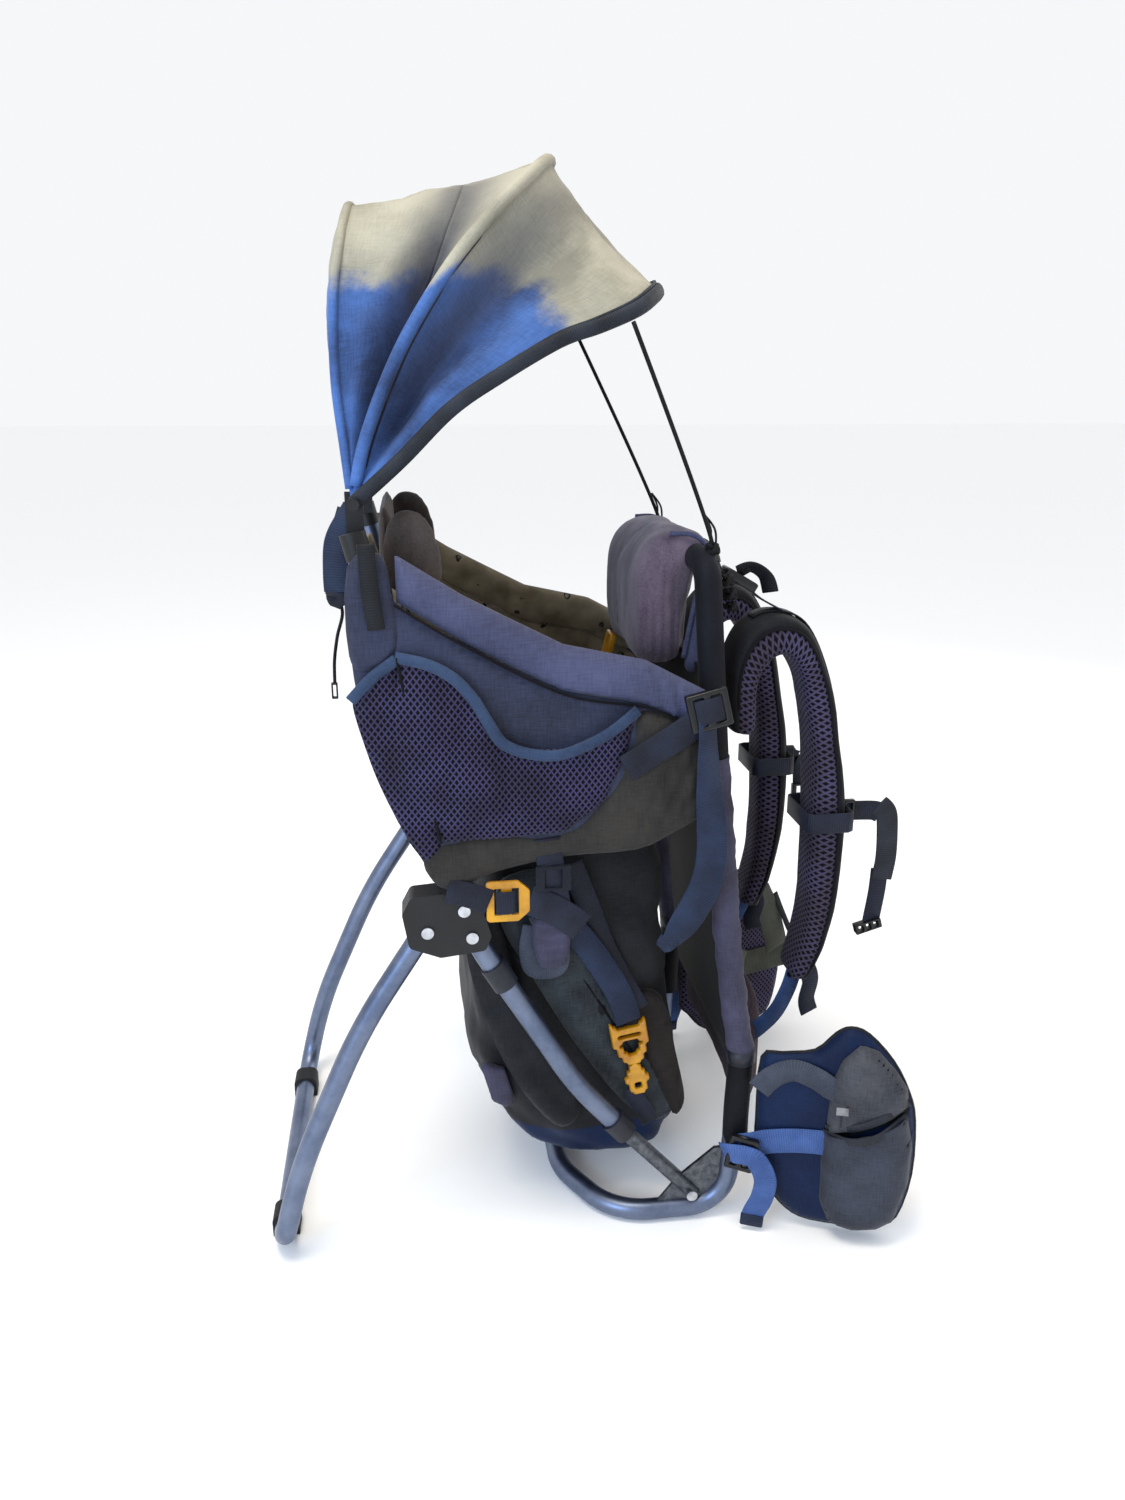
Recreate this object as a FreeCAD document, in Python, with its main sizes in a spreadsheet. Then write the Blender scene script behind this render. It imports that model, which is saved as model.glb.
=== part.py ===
import FreeCAD, Part
import math
import os

import Sketcher
from FreeCAD import Placement, Rotation, Vector

# Child carrier backpack: aluminium frame with a fold-out stand, a fabric seat, a sun canopy on
# three hoops, a luggage bag and a shoulder and hip harness.
# Millimetres. +X is the wearer's forward direction, +Y the wearer's left, +Z up. The origin is on
# the ground, at the centre of the whole carrier's box.

DIMENSIONS = [
    # frame tubes
    ("tube_dia", 22), ("tube_wall", 1.5), ("frame_half", 165), ("seat_top_half", 150),
    ("crossbar_x", 89), ("crossbar_z", 712), ("crossbar_half", 85), ("end_rod_dia", 16),
    ("plate_thick", 4), ("bolt_dia", 6), ("head_dia", 12), ("head_high", 2.5), ("collar_dia", 27),
    # hinge bracket and stand
    ("pivot_x", -188), ("pivot_z", 368), ("bracket_thick", 30), ("stand_half", 180),
    ("stand_x", -351), ("stand_z", 13), ("stand_fold", 40), ("foot_wide", 26), ("foot_deep", 28),
    # seat
    ("panel_y", 178), ("panel_thick", 6), ("rim_y", 175), ("rim_thick", 24),
    ("back_wide", 272), ("back_high", 302), ("back_thick", 8), ("back_tilt", -13.9),
    ("cushion_wide", 236), ("cushion_thick", 14), ("saddle_z", 466), ("saddle_thick", 22),
    ("chin_wide", 190), ("bag_wide", 276), ("mesh_deep", 14), ("skin", 2),
    # back system and harness
    ("lean", -6.25), ("lean_x", 130), ("lean_z", 240), ("wall_wide", 252), ("wall_thick", 5),
    ("pad_wide", 75), ("pad_y", 68), ("pad_thick", 20), ("yoke_wide", 200), ("yoke_thick", 14),
    ("strap_y", 95), ("strap_wide", 65), ("web_wide", 25), ("web_thick", 2), ("sleeve_dia", 30),
    # hip belt
    ("hip_x", 154), ("hip_y", 177), ("hip_flare", 18), ("fin_thick", 22), ("pocket_deep", 26),
    ("waist_reach", 217.5),
    # canopy
    ("canopy_x", -238), ("canopy_z", 773), ("rod_dia", 6), ("hub_dia", 14), ("pin_dia", 6),
    ("front_reach", 350), ("front_angle", 33.5), ("mid_reach", 355), ("mid_angle", 57.3),
    ("rear_reach", 254), ("rear_angle", 88.5), ("hub_pitch", 7), ("hub_first", 144),
    ("cover_thick", 2.5), ("cord_dia", 4),
]

doc = FreeCAD.newDocument("baby_carrier_backpack")
sheet = doc.addObject("Spreadsheet::Sheet", "dims")
for row, (alias, value) in enumerate(DIMENSIONS, 1):
    sheet.set("A%d" % row, alias)
    sheet.set("B%d" % row, str(value))
    sheet.setAlias("B%d" % row, alias)
doc.recompute()

NODES = []


def dim(alias):
    """The number in a cell of the sheet."""
    return float(sheet.get(alias))


def value_of(term):
    """The value of a plain number or of an expression on the sheet's cells."""
    return float(sheet.evalExpression(term)) if isinstance(term, str) else float(term)


def bind(item, prop, term):
    """Sets a property to a number, or binds it to an expression on the sheet."""
    if isinstance(term, str):
        item.setExpression(prop, term)
    else:
        setattr(item, prop, term)


def place(item, x=0, y=0, z=0, turn=None):
    """Places an item; each coordinate is a number or an expression."""
    item.Placement = Placement(Vector(0, 0, 0), turn or Rotation())
    for axis, term in (("x", x), ("y", y), ("z", z)):
        item.setExpression("Placement.Base." + axis, str(term))


def node(item, label):
    """Makes an item one of the carrier's sub-parts."""
    item.Label = label
    NODES.append(item)
    return item


def mirrored(item, label=None):
    """The same piece on the wearer's other side."""
    twin = doc.addObject("Part::Mirroring", item.Name + "_twin")
    twin.Source = item
    twin.Normal = Vector(0, 1, 0)
    return node(twin, label) if label else twin


def group(items, label):
    """Several separate solids in one sub-part."""
    compound = doc.addObject("Part::Compound", label)
    compound.Links = items
    return node(compound, label)


def both_sides(item, label):
    return group([item, mirrored(item)], label)


def cut(base, tools, name):
    """base with the tools taken away."""
    for number, tool in enumerate(tools):
        result = doc.addObject("Part::Cut", "%s_cut%d" % (name, number))
        result.Base = base
        result.Tool = tool
        base = result
    return base


def fuse(items, name):
    fused = doc.addObject("Part::MultiFuse", name)
    fused.Shapes = items
    return fused


def rounded(base, radius, picks, name):
    """base with a fillet along the edges that picks says."""
    doc.recompute()
    item = doc.addObject("Part::Fillet", name)
    item.Base = base
    edges = base.Shape.Edges
    item.Edges = [(i + 1, radius, radius) for i, edge in enumerate(edges) if picks(edge)]
    return item


def sketch_on(body, role, points, name):
    """A closed outline on one of the body's own planes; each coordinate is held by a constraint."""
    sketch = body.newObject("Sketcher::SketchObject", name)
    plane = next(item for item in body.Origin.OriginFeatures if item.Role == role)
    sketch.AttachmentSupport = [(plane, "")]
    sketch.MapMode = "FlatFace"
    corners = [Vector(value_of(across), value_of(up), 0) for across, up in points]
    count = len(corners)
    for i in range(count):
        sketch.addGeometry(Part.LineSegment(corners[i], corners[(i + 1) % count]), False)
    for i in range(count):
        sketch.addConstraint(Sketcher.Constraint("Coincident", i, 2, (i + 1) % count, 1))
    for i, terms in enumerate(points):
        for kind, term in zip(("DistanceX", "DistanceY"), terms):
            held = sketch.addConstraint(Sketcher.Constraint(kind, -1, 1, i, 1, value_of(term)))
            if isinstance(term, str):
                sketch.setExpression("Constraints[%d]" % held, term)
    return sketch


NORMAL = {"XZ_Plane": Vector(0, 1, 0), "XY_Plane": Vector(0, 0, 1), "YZ_Plane": Vector(1, 0, 0)}


def slab(name, role, points, thick, corner=0, rim=0):
    """An outline padded to a thickness, its corners and both its rims rounded."""
    body = doc.addObject("PartDesign::Body", name)
    pad = body.newObject("PartDesign::Pad", name + "_fill")
    pad.Profile = sketch_on(body, role, points, name + "_outline")
    bind(pad, "Length", thick)
    pad.Midplane = True
    doc.recompute()
    normal = NORMAL[role]
    if corner:
        along = [e for e in range(len(pad.Shape.Edges))
                 if abs(pad.Shape.Edges[e].tangentAt(pad.Shape.Edges[e].FirstParameter).dot(normal)) > 0.99]
        step = body.newObject("PartDesign::Fillet", name + "_corners")
        step.Base = (pad, ["Edge%d" % (e + 1) for e in along])
        step.Radius = corner
        doc.recompute()
        pad = step
    if rim:
        half = value_of(thick) / 2
        around = [e for e in range(len(pad.Shape.Edges))
                  if abs(abs(pad.Shape.Edges[e].CenterOfMass.dot(normal)) - half) < 0.01]
        step = body.newObject("PartDesign::Fillet", name + "_rims")
        step.Base = (pad, ["Edge%d" % (e + 1) for e in around])
        step.Radius = rim
        doc.recompute()
    return body


def box(name, sizes, centre, turn=None):
    """A block by its three sizes and its centre."""
    item = doc.addObject("Part::Box", name)
    for prop, term in zip(("Length", "Width", "Height"), sizes):
        bind(item, prop, term)
    low = ["%s - (%s)/2" % (c, s) for c, s in zip(centre, sizes)]
    if turn is None:
        place(item, *low)
    else:
        half = Vector(*[-value_of(size) / 2 for size in sizes])
        item.Placement = Placement(Vector(*centre) + turn.multVec(half), turn)
    return item


def rod(name, dia, start, end):
    """A cylinder between two points."""
    item = doc.addObject("Part::Cylinder", name)
    bind(item, "Radius", "(%s)/2" % dia)
    axis = Vector(*end) - Vector(*start)
    item.Height = axis.Length
    item.Placement = Placement(Vector(*start), Rotation(Vector(0, 0, 1), axis))
    return item


def cross_rod(name, dia, x, low, high, z):
    """A cylinder across the carrier, from y = low to y = high."""
    item = doc.addObject("Part::Cylinder", name)
    bind(item, "Radius", "(%s)/2" % dia)
    bind(item, "Height", "(%s) - (%s)" % (high, low))
    place(item, x, low, z, Rotation(Vector(0, 0, 1), Vector(0, 1, 0)))
    return item


def route_edges(points, radii):
    """Straight runs joined by tangent arcs of the given radii."""
    corners = [Vector(*point) for point in points]
    edges = []
    last = corners[0]
    for i in range(1, len(corners) - 1):
        back = (corners[i - 1] - corners[i]).normalize()
        ahead = (corners[i + 1] - corners[i]).normalize()
        turn = math.pi - back.getAngle(ahead)
        radius = radii[i - 1]
        reach = radius * math.tan(turn / 2)
        start = corners[i] + back * reach
        end = corners[i] + ahead * reach
        middle = corners[i] + (back + ahead).normalize() * (radius / math.cos(turn / 2) - radius)
        if (start - last).Length > 0.001:
            edges.append(Part.LineSegment(last, start).toShape())
        edges.append(Part.Arc(start, middle, end).toShape())
        last = end
    edges.append(Part.LineSegment(last, corners[-1]).toShape())
    return edges


def wide_radii(points):
    """The largest arcs that a route's runs leave room for."""
    corners = [Vector(*point) for point in points]
    radii = []
    for before, at, after in zip(corners, corners[1:], corners[2:]):
        back, ahead = before - at, after - at
        turn = math.pi - back.getAngle(ahead)
        radii.append(0.45 * min(back.Length, ahead.Length) / math.tan(turn / 2))
    return radii


def path(name, points, radii):
    item = doc.addObject("Part::Feature", name + "_path")
    item.Shape = Part.Wire(route_edges(points, radii))
    return item


def swept(name, section, spine):
    item = doc.addObject("Part::Sweep", name)
    item.Sections = [section]
    item.Spine = (spine, [])
    item.Solid = True
    return item


def bar(name, dia, points, radii, spine=None):
    """A round bar along a route."""
    spine = spine or path(name, points, radii)
    section = doc.addObject("Part::Circle", name + "_section")
    bind(section, "Radius", "(%s)/2" % dia)
    aim = Vector(*points[1]) - Vector(*points[0])
    section.Placement = Placement(Vector(*points[0]), Rotation(Vector(0, 0, 1), aim))
    return swept(name, section, spine)


def tube(name, points, radii):
    """A frame tube along a route: the outside and the bore."""
    spine = path(name, points, radii)
    outer = bar(name + "_outside", "dims.tube_dia", points, radii, spine)
    inner = bar(name + "_bore", "dims.tube_dia - 2*dims.tube_wall", points, radii, spine)
    return outer, cut(outer, [inner], name)


def band(name, wide, thick, points, radii):
    """Webbing whose route lies in a fore-and-aft plane, its width across the carrier."""
    section = doc.addObject("Part::Plane", name + "_section")
    bind(section, "Length", wide)
    bind(section, "Width", thick)
    along = (Vector(*points[1]) - Vector(*points[0])).normalize()
    across = Vector(0, 1, 0)
    out = along.cross(across)
    frame = Placement(FreeCAD.Matrix(across.x, out.x, along.x, 0, across.y, out.y, along.y, 0,
                                     across.z, out.z, along.z, 0, 0, 0, 0, 1))
    corner = Vector(*points[0]) - across * (value_of(wide) / 2) - out * (value_of(thick) / 2)
    section.Placement = Placement(corner, frame.Rotation)
    return swept(name, section, path(name, points, radii))


# ---- frame -------------------------------------------------------------------------------------

HALF = dim("frame_half")
TUBE = dim("tube_dia") / 2
BASE = [(134, -HALF, 130), (126, -HALF, TUBE), (2, -HALF, TUBE), (-47, -82, TUBE),
        (-47, 82, TUBE), (2, HALF, TUBE), (126, HALF, TUBE), (134, HALF, 130)]
UPRIGHT = [(134, -HALF, 130), (137, -HALF, 175), (99, -150, 522), (89, -130, 712),
           (89, -dim("crossbar_half"), 712)]
STRUT = [(14, -HALF, 112), (-40, -HALF, 176), (-143, -HALF, 352),
         (-235, -dim("seat_top_half"), 724)]


def frame_tubes():
    base_solid, base = tube("base", BASE, [45, 70, 90, 90, 70, 45])
    node(base, "base_loop")
    _, upright = tube("upright", UPRIGHT, [200, 500, 32])
    node(upright, "upright_right")
    mirrored(upright, "upright_left")
    outer = cross_rod("crossbar", "dims.tube_dia", "dims.crossbar_x", "-dims.crossbar_half",
                      "dims.crossbar_half", "dims.crossbar_z")
    bore = cross_rod("crossbar_bore", "dims.tube_dia - 2*dims.tube_wall", "dims.crossbar_x",
                     "-dims.crossbar_half", "dims.crossbar_half", "dims.crossbar_z")
    node(cut(outer, [bore], "crossbar"), "top_crossbar")
    return base_solid


def on_strut(z):
    """A point on the strut's axis at a height, in its part above the lower bend."""
    low, high = Vector(*STRUT[1]), Vector(*STRUT[2])
    if z > high.z:
        low, high = high, Vector(*STRUT[3])
    return low + (high - low) * ((z - low.z) / (high.z - low.z))


SCREWS = [on_strut(z) for z in (389, 360)]
PIVOT = Vector(dim("pivot_x"), -HALF, dim("pivot_z"))


def struts(base_solid):
    outside, strut = tube("strut", STRUT, [300, 200])
    holes = [cross_rod("strut_hole%d" % i, "dims.bolt_dia", at.x, -HALF - 20, -HALF + 20, at.z)
             for i, at in enumerate(SCREWS)]
    strut = node(cut(strut, holes, "strut_drilled"), "strut_right")
    mirrored(strut, "strut_left")

    # Each strut ends in a thinner forked rod, bolted to a plate in the base loop's front bend.
    top, bolt = Vector(*STRUT[0]), Vector(86, -HALF, 33)
    aim = (bolt - top).normalize()
    stem = rod("end_stem", "dims.end_rod_dia", top, bolt + aim * 8)
    slot = box("end_slot", (60, dim("plate_thick") + 0.4, 30), tuple(bolt + aim * 8),
               Rotation(Vector(1, 0, 0), aim))
    hole = cross_rod("end_hole", "dims.bolt_dia", bolt.x, -HALF - 20, -HALF + 20, bolt.z)
    both_sides(cut(stem, [slot, hole], "strut_end"), "strut_ends")
    plate = slab("gusset", "XZ_Plane",
                 [(48, 18), (96, 12), (120, 36), (124, 84), (112, 84), (72, 50)], "dims.plate_thick")
    place(plate, 0, "-dims.frame_half", 0)
    hole = cross_rod("gusset_hole", "dims.bolt_dia", bolt.x, -HALF - 20, -HALF + 20, bolt.z)
    both_sides(cut(plate, [base_solid, hole], "gusset"), "gusset_plates")
    both_sides(screw("gusset_bolt", bolt, 11), "gusset_bolts")
    rings = []
    for name, low, high in (("low", top, top + (on_strut(176) - top).normalize() * 24),
                            ("high", on_strut(298), on_strut(322))):
        ring = rod(name + "_collar", "dims.collar_dia", low, high)
        core = rod(name + "_collar_bore", "dims.tube_dia", low, high)
        rings.append(cut(ring, [core], name + "_collar"))
    group(rings + [mirrored(ring) for ring in rings], "strut_collars")
    return outside


def screw(name, at, reach):
    """A pan-head screw across the carrier, its head on the outer side."""
    shank = cross_rod(name + "_shank", "dims.bolt_dia", at.x, at.y - reach, at.y + reach, at.z)
    head = cross_rod(name + "_head", "dims.head_dia", at.x,
                     "%s - dims.head_high" % (at.y - reach), at.y - reach, at.z)
    return fuse([shank, head], name)


# ---- hinge bracket and stand ---------------------------------------------------------------------

LEG = [(-183.5, -HALF, 374.8), (-258, -169, 262), (-327, -175, 107),
       (dim("stand_x"), -dim("stand_half"), dim("stand_z"))]


def bracket(strut_solid):
    """Two moulded halves clamp the strut; the stand's leg turns in the space behind it."""
    outline = [(-212, 388), (-203, 405), (-176, 407), (-142, 407), (-134, 388), (-126, 360),
               (-132, 345), (-176, 340), (-206, 352)]
    rest = (Vector(*LEG[1]) - Vector(*LEG[0])).normalize()
    rest = Vector(rest.x, 0, rest.z).normalize()
    folded = Rotation(Vector(0, 1, 0), -dim("stand_fold") - 3).multVec(rest)
    room = 15
    rear = Vector(rest.z, 0, -rest.x) * room
    front = Vector(-folded.z, 0, folded.x) * room
    well = [PIVOT + rear, PIVOT + rear + rest * 80, PIVOT + front + folded * 80, PIVOT + front,
            PIVOT - (rest + folded).normalize() * room * 1.7]
    quarter = "dims.bracket_thick/4"
    for side, sign in (("outer", "-"), ("inner", "+")):
        half = slab("bracket_" + side, "XZ_Plane", outline, "dims.bracket_thick/2 - 0.1", 6)
        place(half, 0, "-dims.frame_half %s %s" % (sign, quarter), 0)
        hollow = slab("well_" + side, "XZ_Plane", [(p.x, p.z) for p in well], 26)
        place(hollow, 0, "-dims.frame_half", 0)
        holes = [cross_rod("%s_hole%d" % (side, i), "dims.bolt_dia", at.x, at.y - 30, at.y + 30, at.z)
                 for i, at in enumerate(SCREWS + [PIVOT])]
        made = cut(half, [strut_solid, hollow] + holes, "bracket_" + side)
        both_sides(made, "bracket_%s_halves" % side)
    reach = dim("bracket_thick") / 2
    ups = [screw("bracket_screw%d" % i, Vector(at.x, -HALF, at.z), reach)
           for i, at in enumerate(SCREWS + [PIVOT])]
    group(ups + [mirrored(one) for one in ups], "bracket_screws")


def stand():
    far = [(x, -y, z) for x, y, z in reversed(LEG)]
    spine = LEG + far
    _, whole = tube("stand", spine, [600, 600, 38, 38, 600, 600])
    hole = cross_rod("stand_hole", "dims.bolt_dia + 0.1", PIVOT.x, -250, 250, PIVOT.z)
    node(cut(whole, [hole], "stand_drilled"), "kickstand_tube")
    block = box("foot_block", ("dims.foot_deep", "dims.foot_wide", "2*dims.stand_z"),
                ("dims.stand_x", "-128", "dims.stand_z"))
    block = rounded(block, 9, lambda e: abs(e.CenterOfMass.z - 2 * dim("stand_z")) < 0.1
                    and abs(e.tangentAt(0).y) > 0.9, "foot_rounded")
    core = cross_rod("foot_bore", "dims.tube_dia", "dims.stand_x", -200, -60, "dims.stand_z")
    both_sides(cut(block, [core], "foot"), "kickstand_feet")


# ---- seat --------------------------------------------------------------------------------------

def leaning(name, outline, thick, out, foot, tilt, corner=0, rim=0):
    """A slab across the carrier on a tilted plane: out is its distance in front of the plane."""
    body = slab(name, "YZ_Plane", outline, thick, corner, rim)
    turn = Rotation(Vector(0, 1, 0), tilt)
    at = Vector(*foot) + turn.multVec(Vector(out, 0, 0))
    body.Placement = Placement(at, turn)
    return body


def rectangle(wide, low, high):
    left, right = "-(%s)/2" % wide, "(%s)/2" % wide
    return [(left, low), (right, low), (right, high), (left, high)]


def seat():
    side = slab("seat_side", "XZ_Plane",
                [(-168, 411), (-190, 443), (-221, 506), (-246, 643), (-243, 722), (-212, 733),
                 (-206, 688), (-146, 649), (-55, 601), (22, 586), (80, 556), (85, 481),
                 (15, 442), (-55, 441)], "dims.panel_thick", 0, 1.5)
    place(side, 0, "-dims.panel_y", 0)
    node(side, "seat_side_right")
    mirrored(side, "seat_side_left")
    rim = slab("seat_rim", "XZ_Plane",
               [(-204, 732), (-146, 695), (-55, 647), (22, 631), (84, 597), (82, 557),
                (22, 587.5), (-55, 602.5), (-146, 650.5), (-204, 689)], "dims.rim_thick", 0, 8)
    place(rim, 0, "-dims.rim_y", 0)
    both_sides(rim, "seat_rims")

    foot, tilt = (-163, 0, 424), dim("back_tilt")
    node(leaning("seat_wall", rectangle("dims.back_wide", 0, "dims.back_high"), "dims.back_thick",
                 0, foot, tilt, 12, 2), "seat_back")
    gap = dim("back_thick") / 2 + 0.5
    middle = gap + dim("cushion_thick") / 2
    node(leaning("cushion", rectangle("dims.cushion_wide", 58, 258), "dims.cushion_thick", middle,
                 foot, tilt, 20, 5), "back_cushion")
    front = gap + dim("cushion_thick") + 1.6
    straps = [leaning("child_strap%d" % i, [(low, 80), (low + 25, 80), (low + 25, 246), (low, 246)],
                      "dims.web_thick", front, foot, tilt) for i, low in enumerate((-60, 35))]
    tab = box("child_tab", (26, 24, 16), (25, 45, 591))
    group(straps + [rounded(tab, 3, lambda e: True, "child_buckle")], "child_harness")

    head = slab("headrest", "XY_Plane",
                [(-221, -122), (-162, -122), (-162, -106), (-205, -104), (-205, 104), (-162, 106),
                 (-162, 122), (-221, 122)], 76, 5, 5)
    place(head, 0, 0, 730)
    node(head, "headrest")
    saddle = slab("saddle", "XY_Plane",
                  [(-150, -108), (-60, -104), (62, -46), (62, 46), (-60, 104), (-150, 108)],
                  "dims.saddle_thick", 14, 7)
    place(saddle, 0, 0, "dims.saddle_z")
    node(saddle, "seat_saddle")
    chin = slab("chin", "XZ_Plane",
                [(30, 690), (44, 726), (62, 739), (104, 739), (107, 725), (76.5, 724), (76, 604),
                 (52, 602), (38, 630)], "dims.chin_wide", 4, 3)
    node(chin, "chin_pad")


def mesh_pocket():
    """A shallow pocket on the seat's side: a mesh skin closed below and open above."""
    skin = slab("mesh", "XZ_Plane",
                [(-220, 530), (-205, 646), (-158, 627), (-126, 583), (-112, 562), (-55, 553),
                 (-17, 569), (14, 590), (-16, 498), (-55, 466), (-167, 462)], "dims.mesh_deep")
    place(skin, 0, "-dims.panel_y - dims.panel_thick/2 - 0.5 - dims.mesh_deep/2", 0)
    hollow = slab("mesh_room", "XZ_Plane",
                  [(-213, 534), (-199, 700), (20, 700), (8, 586), (-18, 503), (-56, 470),
                   (-165, 466)], "dims.mesh_deep")
    place(hollow, 0, "-dims.panel_y - dims.panel_thick/2 - 0.5 - dims.mesh_deep/2 + dims.skin", 0)
    both_sides(cut(skin, [hollow], "mesh_pocket"), "mesh_pockets")


def rear_pocket():
    """The pocket on the outside of the seat's back, open at its top."""
    foot, tilt = (-163, 0, 424), dim("back_tilt")
    shell = leaning("rear_pocket_shell", rectangle("dims.back_wide - 40", 30, 225), 22, -16,
                    foot, tilt, 10)
    room = leaning("rear_pocket_room", rectangle("dims.back_wide - 46", 33, 260), 19, -14.5,
                   foot, tilt)
    node(cut(shell, [room], "rear_pocket"), "rear_pocket")
    flap = [(-249, -98, 755), (-264, -98, 747), (-271, -98, 690), (-256, -98, 686)]
    loop = band("rear_flap", 30, 2, flap, wide_radii(flap))
    node(loop, "rear_loop")


def luggage_bag():
    bag = slab("bag", "XZ_Plane",
               [(-150, 436), (-147, 306), (-154, 199), (-138, 132), (-98, 68), (-50, 44), (0, 48),
                (44, 36), (84, 42), (97, 84), (86, 173), (74, 300), (62, 436)], "dims.bag_wide",
               12, 18)
    node(bag, "luggage_bag")


# ---- webbing on the seat --------------------------------------------------------------------------

def flat_strap(name, outline, y):
    strap = slab(name, "XZ_Plane", outline, "dims.web_thick")
    place(strap, 0, y, 0)
    return strap


def seat_webbing():
    tail = flat_strap("rim_tail", [(65, 566), (93, 566), (97, 500), (97, 427), (81, 385), (62, 345),
                                   (50, 352), (60, 400), (68, 430), (68, 500)], -191)
    short = flat_strap("lock_strap", [(-166, 427), (-132, 414), (-132, 390), (-168, 409)], -184.7)
    upper = flat_strap("hanging_strap", [(-83, 462), (-58, 465), (-44, 390), (-69, 385)], -182.4)
    lower = flat_strap("lower_strap", [(-87, 407), (-33, 374), (-44, 350), (-87, 382)], -184.7)
    pairs = [tail, short, upper, lower]
    entry = flat_strap("entry_strap", [(-47, 353), (-25, 365), (31, 248), (9, 236)], -146)
    group(pairs + [mirrored(one) for one in pairs] + [entry], "seat_webbing")

    buckle = box("rim_buckle", (38, 8, 36), (79, -193, 585))
    buckle = rounded(buckle, 2.5, lambda e: True, "rim_buckle_soft")
    both_sides(buckle, "rim_buckles")
    lock = slab("lock", "XZ_Plane", [(-131, 378), (-131, 420), (-100, 420), (-89, 410), (-89, 388),
                                     (-100, 378)], 4, 4, 0.8)
    place(lock, 0, -184.7, 0)
    slots = [box("lock_slot%d" % i, (7, 10, 28), (x, -184.7, 399)) for i, x in enumerate((-120, -103))]
    both_sides(cut(lock, slots, "lock"), "compression_locks")
    loops = slab("foot_loop", "XZ_Plane", [(-90, 303), (-90, 360), (-54, 360), (-50, 303)], 16, 6)
    hole = slab("foot_hole", "XZ_Plane", [(-87.5, 305.5), (-87.5, 357.5), (-56.5, 357.5), (-52.5, 305.5)],
                20, 4)
    for item in (loops, hole):
        place(item, 0, -152, 0)
    both_sides(cut(loops, [hole], "foot_loop"), "foot_loops")


BUCKLE_AXIS = Vector(16, 0, -90).normalize()
BUCKLE_TURN = Rotation(Vector(0, 0, -1), BUCKLE_AXIS)


def entry_buckle():
    """A side-release buckle: the tongue slides out of the housing along the buckle's axis."""
    centre = Vector(21, -146, 208)
    housing = box("housing", (30, 10, 46), tuple(centre), BUCKLE_TURN)
    housing = rounded(housing, 2, lambda e: True, "housing_soft")
    mouth = box("housing_mouth", (24, 6, 30), tuple(centre + BUCKLE_AXIS * 12), BUCKLE_TURN)
    slot = box("housing_slot", (20, 12, 5), tuple(centre - BUCKLE_AXIS * 15), BUCKLE_TURN)
    node(cut(housing, [mouth, slot], "housing"), "entry_buckle_housing")
    prongs = [box("prong%d" % i, (5, 5, 40), tuple(centre + BUCKLE_AXIS * 18 + BUCKLE_TURN.multVec(
        Vector(x, 0, 0))), BUCKLE_TURN) for i, x in enumerate((-9, 0, 9))]
    plate = box("tongue_plate", (28, 8, 34), tuple(centre + BUCKLE_AXIS * 42), BUCKLE_TURN)
    tongue = fuse(prongs + [plate], "tongue_whole")
    window = box("tongue_window", (19, 12, 6), tuple(centre + BUCKLE_AXIS * 51), BUCKLE_TURN)
    node(cut(tongue, [window], "tongue"), "entry_buckle_tongue")


# ---- back system and harness ----------------------------------------------------------------------

LEAN_FOOT = (dim("lean_x"), 0, dim("lean_z"))


def back_system():
    tilt = dim("lean")
    low, high = Vector(*UPRIGHT[1]), Vector(*UPRIGHT[2])
    start, end = low + (high - low) * 0.07, low + (high - low) * 0.94
    ring = rod("sleeve", "dims.sleeve_dia", start, end)
    core = rod("sleeve_bore", "dims.tube_dia + 0.6", start, end)
    both_sides(cut(ring, [core], "sleeve"), "upright_sleeves")
    node(leaning("net", rectangle("dims.wall_wide", -80, 375), "dims.wall_thick", 0, LEAN_FOOT,
                 tilt, 16), "back_panel")
    out = dim("wall_thick") / 2 + 0.5 + dim("pad_thick") / 2
    pads = []
    for i, middle in enumerate(("-dims.pad_y", "dims.pad_y")):
        inner, outer = middle + " - dims.pad_wide/2", middle + " + dims.pad_wide/2"
        pads.append(leaning("back_pad%d" % i, [(inner, 0), (outer, 0), (outer, 212), (inner, 212)],
                            "dims.pad_thick", out, LEAN_FOOT, tilt, 18, 8))
    group(pads, "back_pads")
    lumbar = slab("lumbar", "XY_Plane", [(146, -118), (162, -122), (186, -60), (190, 0), (186, 60),
                                         (162, 122), (146, 118)], 120, 5, 6)
    place(lumbar, 0, 0, 152)
    node(lumbar, "lumbar_pad")


def harness():
    tilt = dim("lean")
    out = dim("wall_thick") / 2 + 1.2 + dim("yoke_thick") / 2
    node(leaning("yoke", rectangle("dims.yoke_wide", 250, 372), "dims.yoke_thick", out, LEAN_FOOT,
                 tilt, 14, 3), "shoulder_yoke")
    strap = slab("shoulder", "XZ_Plane",
                 [(121, 552), (119, 620), (134, 647), (168, 659), (200, 643), (226, 587), (241, 522),
                  (252, 455), (253, 363), (241, 292), (222, 251), (203, 262), (213, 306), (216, 365),
                  (213, 457), (209, 523), (196, 586), (180, 614), (158, 602), (147, 552)],
                 "dims.strap_wide", 0, 5)
    place(strap, 0, "-dims.strap_y", 0)
    node(strap, "shoulder_strap_right")
    mirrored(strap, "shoulder_strap_left")
    y = -dim("strap_y")
    lifter = band("lifter", "dims.web_wide", "dims.web_thick", [(103, y, 706), (140, y, 682), (176, y, 664)],
                  [60])
    both_sides(lifter, "load_lifters")
    lower = band("adjuster", "dims.web_wide", "dims.web_thick", [(212, y, 250), (192, y, 206), (172, y, 216)],
                 [5])
    both_sides(lower, "lower_straps")


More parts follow.
